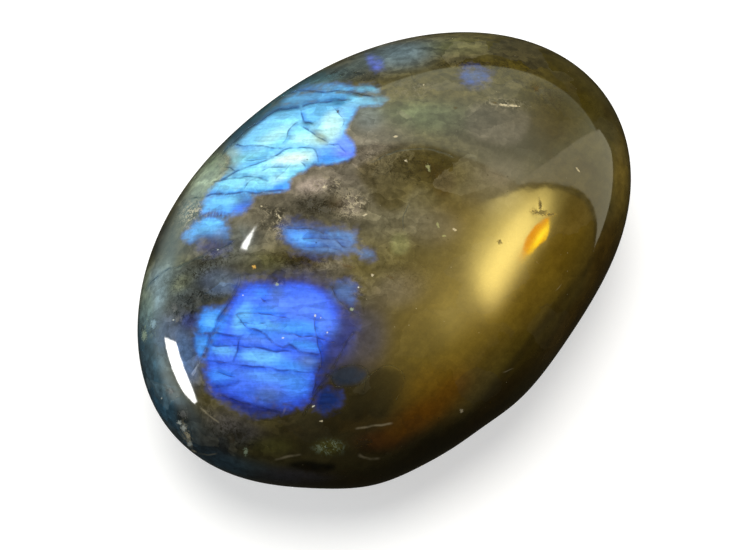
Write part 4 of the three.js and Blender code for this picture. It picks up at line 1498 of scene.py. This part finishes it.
class SpectroliteSheet(NodeSheet):
    """The node tree of the stone's material. Each method makes one part of the look."""

    def __init__(self, tree: bpy.types.NodeTree, look: SpectroliteFinish, plane: LayerPlane) -> None:
        """Empty the tree, and find the place in the crystal, in millimetres along its layers' axes.

        Args:
            tree: The material's node tree.
            look: The sizes and shares of the finish.
            plane: The plane of the crystal's layers.
        """
        super().__init__(tree)
        self.look = look
        axes = plane.axes()
        mapping = self.add("ShaderNodeMapping", {
            "Vector": self.add("ShaderNodeTexCoord").outputs["Object"],
            "Location": -(axes @ plane.centre) / MILLIMETRE,
            "Rotation": axes.to_euler(),
            "Scale": (1 / MILLIMETRE,) * 3,
        }, vector_type="POINT")
        self.place = mapping.outputs["Vector"]
        self.grain = self.noise(self.place, look.grain_scale, 3.0, 0.6).outputs[0]

    def fill(self) -> None:
        """Make all the nodes of the material."""
        dark, pale, shade = self._cracks()
        flash, cover = self._flash(shade)
        colour = self.mix(cover, self._grit(self._body()), flash)
        colour = self.mix(dark, colour, self.filtered(colour, self.look.crack_tint))
        colour = self.mix(self.product(pale, self.look.healed_cover), colour, Pigment.CREAM.colour())
        colour, grains = self._flecks(colour)
        surface = self.add("ShaderNodeBsdfPrincipled", {
            "Base Color": colour,
            "Roughness": self._roughness(self.math("MAXIMUM", dark, grains)),
            "Normal": self._relief(dark),
            "IOR": self.look.refraction,
        })
        self.add("ShaderNodeOutputMaterial", {"Surface": surface.outputs["BSDF"]})

    def _layers(self) -> Socket:
        """Draw the layers that show in the clear side.

        Returns:
            Their noise.
        """
        inputs = {"Vector": self.place, "Rotation": self.look.layer_turn, "Scale": self.look.layer_size}
        layered = self.add("ShaderNodeMapping", inputs, vector_type="TEXTURE")
        return self.noise(layered.outputs["Vector"], 1.0, 4.0, 0.6).outputs[0]

    def _body(self) -> Socket:
        """Colour the crystal between the flashes: clouds, angular plates, mottling and fine grains.

        Returns:
            The colour.
        """
        look = self.look
        along, across, _ = self.parts(self.place)
        clear = self.step(self.math("SUBTRACT", self.product(along, 0.8), self.product(across, 0.6)),
                          *look.clear_from)
        coarse = self.step(clear, 0.0, 1.0, 1.0, look.coarse_left)
        shifted = self.warped(self.place, *look.body_warp)
        plate_tone, plate_hue, _ = self.tones(self.scaled(shifted, look.plate_stretch), look.plate_scale)
        chip_tone = self.tones(self.scaled(shifted, look.chip_stretch), look.chip_scale)[0]
        mottle = self.noise(self.place, look.mottle_scale, 4.0, 0.55).outputs[0]
        stain = self.noise(self.place, look.umber_scale, 4.0).outputs[0]
        tone = self.product(
            self.swing(coarse, plate_tone, EVEN, look.plate_swing),
            self.swing(coarse, chip_tone, EVEN, look.chip_swing),
            self.swing(coarse, mottle, CLOUDY, look.mottle_swing),
            self.swing(clear, self._layers(), CLOUDY, look.layer_swing),
            self.step(self.grain, *CLOUDY, *look.grain_range),
        )
        colour = self.attribute(PebblePattern.BODY).outputs["Color"]
        taupe = self.product(coarse, self.step(plate_hue, 0.5, 1.0, 0.0, look.taupe_cover))
        colour = self.mix(taupe, colour, Pigment.GREY_TAUPE.colour())
        umber = self.product(clear, self.step(stain, 0.5, 0.7, 0.0, look.umber_cover))
        colour = self.mix(umber, colour, Pigment.UMBER.colour())
        return self.tinted(colour, tone)

    def _grit(self, colour: Socket) -> Socket:
        """Lay crumbs of other crystals, and their broken outlines, over the body.

        Args:
            colour: The body's colour.

        Returns:
            The new colour.
        """
        look = self.look
        grit = self.attribute(PebblePattern.GRIT).outputs
        bent = self.warped(self.place, *look.grit_warp)
        rough = self.noise(bent, look.grit_scale, 5.0, 0.68).outputs[0]
        hollow = self.product(self.step(rough, 0.5, 0.4), grit["Alpha"], look.hollow_cover)
        colour = self.mix(hollow, colour, Pigment.PEAT.colour())
        crumbs = self.product(self.step(rough, 0.545, 0.6), look.crumb_cover)
        to_rim = self.cells(bent, look.grit_scale, "DISTANCE_TO_EDGE").outputs["Distance"]
        broken = self.step(self.noise(self.place, 1.3, 3.0, 0.6).outputs[0], 0.47, 0.56)
        rims = self.product(self.step(to_rim, 0.09, 0.03), broken, look.rim_cover)
        cover = self.product(self.math("MAXIMUM", crumbs, rims), grit["Alpha"])
        return self.mix(cover, colour, grit["Color"])

    def _flash(self, shade: Socket) -> tuple[Socket, Socket]:
        """Paint the flashes' sheen as fixed colour: deeper at their ragged edges, streaked along the layers,
        in many flakes.

        Args:
            shade: How far the shade beside a crack covers the place.

        Returns:
            The colour of the flashes, and how far they cover the body.
        """
        look = self.look
        ragged = self.noise(self.scaled(self.place, look.ragged_stretch), look.ragged_scale).outputs[0]
        depth = self.math("ADD", self.attribute(PebblePattern.FLASH_DEPTH).outputs["Fac"],
                          self.step(ragged, 0.25, 0.75, *look.ragged_swing))
        strength = self.attribute(PebblePattern.FLASH_STRENGTH).outputs["Fac"]
        cover = self.product(self.step(depth, *look.flash_edge), strength)
        colour = self.attribute(PebblePattern.FLASH_COLOUR).outputs["Color"]
        edge = self.step(depth, 3.0, 0.0, 0.0, look.edge_cover)
        colour = self.mix(edge, colour, self.filtered(colour, look.edge_tint))
        colour = self.mix(self.product(shade, look.shade_cover), colour,
                          self.filtered(colour, look.shade_tint))
        stretched = self.scaled(self.place, look.streak_stretch)
        streaks = self.noise(stretched, look.streak_scale, 4.0, 0.6).outputs[0]
        clouds = self.noise(self.place, look.cloud_scale, 5.0, 0.6).outputs[0]
        flakes = self.tones(self.scaled(self.place, look.flake_stretch), look.flake_scale)[0]
        tone = self.product(self.step(streaks, *CLOUDY, *look.streak_range),
                            self.step(clouds, *CLOUDY, *look.cloud_range),
                            self.step(flakes, *EVEN, *look.flake_range))
        return self.tinted(colour, tone), cover

    def _cracks(self) -> tuple[Socket, Socket, Socket]:
        """Draw the cracks: a little wavy, tapering at their ends, and broken where they are fine.

        Returns:
            The cover of the dark cracks and of the pale ones, and of the shade beside the dark ones.
        """
        look = self.look
        wobble = self.step(self.noise(self.place, 0.4, 1.5).outputs[0], 0.2, 0.8, *look.crack_wobble)
        breaks = self.step(self.noise(self.place, 0.9).outputs[0], 0.32, 0.6, 0.3, 1.0)
        dark: Socket | float = 0.0
        pale: Socket | float = 0.0
        shade: Socket | float = 0.0
        for name in PebblePattern.CRACKS:
            beside, to_end, width = self.parts(self.attribute(name).outputs["Vector"])
            beside = self.math("ADD", beside, wobble)
            half = self.product(self.math("ABSOLUTE", width), 0.5)
            whole = self.math("MAXIMUM", breaks, self.step(half, *look.whole_from))
            ends = self.product(self.step(to_end, *look.crack_taper), whole)
            line = self.step(self.math("DIVIDE", self.math("ABSOLUTE", beside), half), 1.7, 0.0)
            fall = self.product(self.step(beside, look.crack_shade, 0.0), self.step(beside, -0.1, 0.05))
            is_dark = self.math("GREATER_THAN", width, 0.0)
            is_pale = self.math("SUBTRACT", 1.0, is_dark)
            dark = self.math("MAXIMUM", dark, self.product(line, ends, is_dark))
            pale = self.math("MAXIMUM", pale, self.product(line, ends, is_pale))
            shade = self.math("MAXIMUM", shade, self.product(fall, ends, is_dark))
        return dark, pale, shade

    def _flecks(self, colour: Socket) -> tuple[Socket, Socket]:
        """Lay the grains over the colour, the ones set one by one and the dust.

        Args:
            colour: The colour so far.

        Returns:
            The new colour, and the cover of the grains set one by one.
        """
        along, across, _ = self.parts(self.attribute(PebblePattern.FLECK).outputs["Vector"])
        square = self.math("ADD", self.product(along, along), self.product(across, across))
        radius = self.math("ADD", self.math("SQRT", square),
                           self.step(self.grain, 0.2, 0.8, *self.look.fleck_wobble))
        cover = self.step(radius, 1.5, 0.5, 0.0, self.look.fleck_cover)
        colour = self.mix(cover, colour, self.attribute(PebblePattern.FLECK_COLOUR).outputs["Color"])
        for dust in self.look.dusts:
            cells = self.cells(self.place, dust.scale)
            chance = self.parts(cells.outputs["Color"])[0]
            spot = self.product(
                self.step(cells.outputs["Distance"], dust.size, dust.size * 0.3),
                self.step(chance, dust.rarity, dust.rarity + 0.01, 0.0, self.look.dust_cover))
            colour = self.mix(spot, colour, dust.pigment.colour())
        return colour, cover

    def _roughness(self, dull: Socket) -> Socket:
        """Give the polish: hazed a little by handling, and dull in the cracks and grains.

        Args:
            dull: The cover of the cracks and grains.

        Returns:
            The roughness.
        """
        hazy = self.noise(self.place, 0.5, 5.0, 0.6).outputs[0]
        haze = self.step(hazy, 0.35, 0.75, 0.0, self.look.haze)
        dullness = self.product(dull, self.look.crack_dullness)
        return self.math("ADD", self.math("ADD", haze, self.look.polish), dullness)

    def _relief(self, dark: Socket) -> Socket:
        """Shape the polish: a hair's groove in each dark crack, and a faint ripple.

        Args:
            dark: The cover of the dark cracks.

        Returns:
            The normals.
        """
        ripple = self.product(self.noise(self.place, 0.7).outputs[0], self.look.ripple)
        height = self.math("SUBTRACT", ripple, self.product(dark, self.look.groove))
        inputs = {"Strength": self.look.relief_strength, "Distance": self.look.relief, "Height": height}
        return self.add("ShaderNodeBump", inputs).outputs["Normal"]


@dataclass
class PolishedPebble:
    """The stone: a lopsided, flattened egg, ground smooth and polished all over."""

    plane: LayerPlane
    name: str = "polished_pebble"
    node: str = "pebble"
    slot: str = "spectrolite"
    refinements: int = 2
    weld_distance: float = 1e-6

    def build(self) -> bpy.types.Object:
        """Make the stone and dress it.

        Returns:
            The finished piece, riding on its body.
        """
        piece = self._copy_of_solid()
        self._weld_into_quads()
        self._refine(piece)
        self._dent(piece.data)
        PebblePattern(piece.data, self.plane).paint(SIDES)
        piece.data.materials.clear()
        piece.data.materials.append(SpectroliteFinish().material(self.plane))
        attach(piece, "root")
        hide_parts(self.node)
        return piece

    def _copy_of_solid(self) -> bpy.types.Object:
        """Copy the solid.

        Returns:
            The copy, which is active and selected by itself.
        """
        solid = frame["nodes"][self.node]
        bpy.ops.object.select_all(action="DESELECT")
        solid.select_set(True)
        bpy.context.view_layer.objects.active = solid
        bpy.ops.object.duplicate()
        piece = bpy.context.view_layer.objects.active
        bpy.ops.object.parent_clear(type="CLEAR_KEEP_TRANSFORM")
        for key in list(piece.keys()):
            del piece[key]
        piece.name = self.name
        piece.data.name = self.name
        return piece

    def _weld_into_quads(self) -> None:
        """Join the loose triangles of the active piece, and pair them as squares again."""
        bpy.ops.object.mode_set(mode="EDIT")
        bpy.ops.mesh.select_all(action="SELECT")
        bpy.ops.mesh.remove_doubles(threshold=self.weld_distance)
        bpy.ops.mesh.tris_convert_to_quads(
            face_threshold=math.pi, shape_threshold=math.pi, topology_influence=2.0)
        bpy.ops.object.mode_set(mode="OBJECT")

    def _refine(self, piece: bpy.types.Object) -> None:
        """Divide the stone finely, and shade it smooth.

        Args:
            piece: The stone, which is active.
        """
        modifier = piece.modifiers.new("fine_surface", "SUBSURF")
        modifier.levels = self.refinements
        modifier.render_levels = self.refinements
        bpy.ops.object.modifier_apply(modifier=modifier.name)
        bpy.ops.object.shade_smooth()

    def _dent(self, mesh: bpy.types.Mesh) -> None:
        """Press the pits of both sides into the surface.

        Args:
            mesh: The stone's mesh.
        """
        points, normals = read_vertices(mesh)
        places = self.plane.places(points)
        facing = self.plane.facing(normals)
        for side, markings in SIDES.items():
            for pit in markings.pits:
                gap = np.linalg.norm(places - np.array(pit.middle), axis=1) / pit.radius
                press = smooth_step(gap, 1.0, 0.0) * (facing * side.value > 0) * pit.depth * MILLIMETRE
                points -= normals * press[:, None]
        mesh.vertices.foreach_set("co", points.ravel())
        mesh.update()


@dataclass(frozen=True)
class RoomGlow:
    """A soft light in the room: its middle, and its half-widths round and up, in degrees.

    Where a wall stands in front of it, it shows only on the side of the room that beyond points to.
    """

    middle: Pair
    spread: Pair
    glow: Triple
    beyond: Pair | None = None

    def cover(self, sheet: NodeSheet, ray: Socket) -> Socket:
        """Give the light's fall-off round its middle.

        Args:
            sheet: The world's nodes.
            ray: The direction in which the room is seen.

        Returns:
            1 in the middle, and 0 far from it.
        """
        out = direction(*self.middle)
        level = Vector((0, 0, 1)).cross(out).normalized()
        squares = []
        for axis, spread in zip((level, out.cross(level)), self.spread):
            share = sheet.math("DIVIDE", sheet.dot(ray, axis), math.sin(math.radians(spread)))
            squares.append(sheet.product(share, share))
        distance = sheet.math("ADD", *squares)
        fall = sheet.math("POWER", math.e, sheet.math("MULTIPLY", distance, -1.0))
        factors = [fall, sheet.step(sheet.dot(ray, out), 0.0, 0.1)]
        if self.beyond:
            factors.append(sheet.step(sheet.dot(ray, direction(*self.beyond)), -WALL_BLUR, WALL_BLUR))
        return sheet.product(*factors)

    def shine(self, sheet: NodeSheet, ray: Socket, room: Any) -> Socket:
        """Add the light to the colour of the room."""
        return sheet.mix(1.0, room, sheet.tinted(self.glow, self.cover(sheet, ray)), "ADD")


@dataclass(frozen=True)
class RoomPanel:
    """A flat part of the room that the polish mirrors: its corners as azimuth and elevation."""

    corners: tuple[Pair, ...]
    glow: Triple
    blur: float
    shadow: RoomGlow | None = None

    def cover(self, sheet: NodeSheet, ray: Socket) -> Socket:
        """Give the panel's cover of the directions in which the room is seen.

        Args:
            sheet: The world's nodes.
            ray: The direction.

        Returns:
            1 on the panel, and 0 beside it.
        """
        points = [direction(*corner) for corner in self.corners]
        middle = sum(points, Vector((0, 0, 0))).normalized()
        covers = []
        for start, end in zip(points, points[1:] + points[:1]):
            edge = start.cross(end).normalized()
            inward = edge if edge.dot(middle) > 0 else -edge
            covers.append(sheet.step(sheet.dot(ray, inward), -self.blur, self.blur))
        return sheet.product(*covers)

    def shine(self, sheet: NodeSheet, ray: Socket, room: Any) -> Socket:
        """Lay the panel, with its shadow on it, over the colour of the room.

        Args:
            sheet: The world's nodes.
            ray: The direction in which the room is seen.
            room: The colour so far.

        Returns:
            The new colour.
        """
        glow: Any = (*self.glow, 1.0)
        if self.shadow:
            glow = sheet.mix(self.shadow.cover(sheet, ray), glow, (*self.shadow.glow, 1.0))
        return sheet.mix(self.cover(sheet, ray), room, glow)


WALL_BLUR = 0.012
BELOW_WALL = (-131, 17.7)
CORNER_SHADOW = RoomGlow((3, 26), (19, 25), (0.35, 0.35, 0.2))
LAMP_CORE = RoomGlow((-42.4, 37.8), (2.4, 2.4), (22.0, 15.0, 0.4))

# What the polish mirrors: a grey ceiling that ends in a lit wall, warm lamps below, and a window.
ROOM_LIGHTS = (
    RoomGlow((95, -2), (30, 20), (1.05, 1.5, 1.45)),
    RoomGlow((142, -3), (18, 10), (1.6, 1.8, 1.7)),
    RoomPanel(((-12, 54), (88, 20), (54, 21), (15, 12.5), (-7.7, 3)), (1.2, 1.3, 1.02), 0.008,
              CORNER_SHADOW),
    RoomPanel(((-12, 54), (-7.7, 2), (-15, -8), (-44, -15)), (1.52, 1.45, 1.05), 0.006),
    RoomGlow((-46, 24), (20, 26), (0.9, 0.5, 0.0), BELOW_WALL),
    RoomGlow((-34, 66), (28, 17), (1.7, 1.25, 0.35)),
    RoomGlow((-13, 57), (6, 4.5), (3.4, 2.7, 0.8), BELOW_WALL),
    RoomGlow((-73, 38), (11, 12), (1.1, 0.7, 0.05), BELOW_WALL),
    RoomGlow((-39.4, 50.3), (12.4, 10.4), (16.6, 12.8, 3.5), BELOW_WALL),
    RoomGlow((-54, 45), (9, 9), (5.0, 3.6, 1.0), BELOW_WALL),
    RoomPanel(((-37.4, 39.4), (-41.6, 36.2), (-44.0, 35.0), (-45.4, 37.2), (-45.2, 40.2), (-43.0, 43.4),
               (-40.0, 45.0), (-37.2, 43.2)), (13.4, 4.8, 0.0), 0.008, LAMP_CORE),
    RoomGlow((138, 15), (16, 6), (0.9, 1.0, 1.0)),
    RoomPanel(((125.0, 6.0), (130, 18.6), (140, 20.6), (140, 8.4)), (28.0, 28.0, 27.0), 0.008),
    RoomPanel(((132, 8.0), (132, 19.4), (146.3, 21.4), (156, 19.6), (162, 15.4), (161.6, 11.4),
               (152.4, 8.8)), (28.0, 28.0, 27.0), 0.006),
    RoomPanel(((94.4, 48.9), (94.2, 52.1), (86.0, 49.4)), (26.0, 26.0, 25.0), 0.003),
)


@dataclass(frozen=True)
class SoftLamp:
    """A round lamp that shines at the stone and isn't mirrored by it. Its power is in watts."""

    name: str
    place: Triple
    size: float
    power: float
    colour: Triple

    def hang(self) -> None:
        """Make the lamp, and turn it to the stone."""
        bpy.ops.object.select_all(action="DESELECT")
        bpy.ops.object.light_add(type="AREA", location=self.place)
        lamp = bpy.context.active_object
        lamp.name = self.name
        lamp.data.shape = "DISK"
        lamp.data.size = self.size
        lamp.data.energy = self.power
        lamp.data.color = self.colour
        lamp.rotation_euler = Vector(self.place).to_track_quat("Z", "Y").to_euler()
        lamp.visible_camera = False
        lamp.visible_glossy = False


@dataclass
class Studio:
    """A pale floor under soft lamps, and the plain room that the polish mirrors."""

    floor_size: float = 3.0
    floor_colour: str = "#c8c8c6"
    floor_glow: float = 0.55
    floor_roughness: float = 0.9
    floor_shine: float = 0.1
    floor_gap: float = 0.0001
    lamps: tuple[SoftLamp, ...] = (
        SoftLamp("overhead_softbox", (0.12, 0.22, 0.95), 0.9, 13.0, (1.0, 0.98, 0.95)),
        SoftLamp("left_window", (-0.75, 0.75, 0.42), 0.5, 2.6, (0.75, 0.88, 1.0)),
    )
    dark_room: Colour = (0.02, 0.018, 0.012, 1.0)
    dim_below: Colour = (0.02, 0.02, 0.02, 1.0)
    dim_above: Colour = (0.16, 0.16, 0.16, 1.0)
    horizon: Pair = (-0.2, 0.3)

    def build(self) -> None:
        """Make the floor, the lamps and the world."""
        self._lay_floor()
        for lamp in self.lamps:
            lamp.hang()
        self._light_room()

    def _lay_floor(self) -> None:
        """Lay the floor under the stone."""
        bpy.ops.object.select_all(action="DESELECT")
        bpy.ops.mesh.primitive_plane_add(size=self.floor_size, location=(0, 0, -self.floor_gap))
        floor = bpy.context.active_object
        floor.name = "floor"
        material = bpy.data.materials.new("floor_paint")
        material.use_nodes = True
        sheet = NodeSheet(material.node_tree)
        surface = sheet.add("ShaderNodeBsdfPrincipled", {
            "Base Color": linear(self.floor_colour),
            "Roughness": self.floor_roughness,
            "Specular IOR Level": self.floor_shine,
            "Emission Color": WHITE,
            "Emission Strength": self.floor_glow,
        })
        sheet.add("ShaderNodeOutputMaterial", {"Surface": surface.outputs["BSDF"]})
        floor.data.materials.append(material)
        floor.visible_glossy = False
        floor.visible_diffuse = False

    def _light_room(self) -> None:
        """Make the world: pale to the eye, dim to dull surfaces, and a room in the polish."""
        world = bpy.data.worlds.new("studio_room")
        bpy.context.scene.world = world
        world.use_nodes = True
        world.cycles.sampling_method = "NONE"
        sheet = NodeSheet(world.node_tree)
        ray = sheet.add("ShaderNodeTexCoord").outputs["Generated"]
        path = sheet.add("ShaderNodeLightPath").outputs
        room: Any = self.dark_room
        for light in ROOM_LIGHTS:
            room = light.shine(sheet, ray, room)
        height = sheet.parts(ray)[2]
        dim = sheet.mix(sheet.step(height, *self.horizon), self.dim_below, self.dim_above)
        colour = sheet.mix(path["Is Glossy Ray"], dim, room)
        colour = sheet.mix(path["Is Camera Ray"], colour, WHITE)
        background = sheet.add("ShaderNodeBackground", {"Color": colour, "Strength": 1.0})
        sheet.add("ShaderNodeOutputWorld", {"Surface": background.outputs[0]})


@dataclass(frozen=True)
class StudioCamera:
    """A long lens that looks down on the stone from its near corner."""

    plane: LayerPlane
    distance: float = 0.380
    aim: Place = (-0.002333, -0.002183)
    lens: float = 164.2
    sensor: float = 36.0

    def build(self) -> None:
        """Make the camera and put it to use."""
        axes = self.plane.axes()
        target = self.plane.centre + axes[0] * self.aim[0] + axes[1] * self.aim[1]
        bpy.ops.object.select_all(action="DESELECT")
        bpy.ops.object.camera_add(location=target + axes[2] * self.distance)
        camera = bpy.context.active_object
        camera.name = "studio_camera"
        camera.rotation_euler = axes.transposed().to_euler()
        camera.data.lens = self.lens
        camera.data.sensor_width = self.sensor
        bpy.context.scene.camera = camera


def main() -> None:
    """Build the stone and its studio."""
    logging.basicConfig(level=logging.INFO, format="%(name)s: %(message)s")
    bpy.context.scene.view_settings.view_transform = "Standard"
    plane = LayerPlane()
    stone = PolishedPebble(plane).build()
    LOG.info("%s: %d faces", stone.name, len(stone.data.polygons))
    studio = Studio()
    studio.build()
    LOG.info("studio: floor, %d lamps and a room of %d lights", len(studio.lamps), len(ROOM_LIGHTS))
    camera = StudioCamera(plane)
    camera.build()
    LOG.info("camera: %.1f mm lens", camera.lens)


if __name__ == "__main__":
    main()
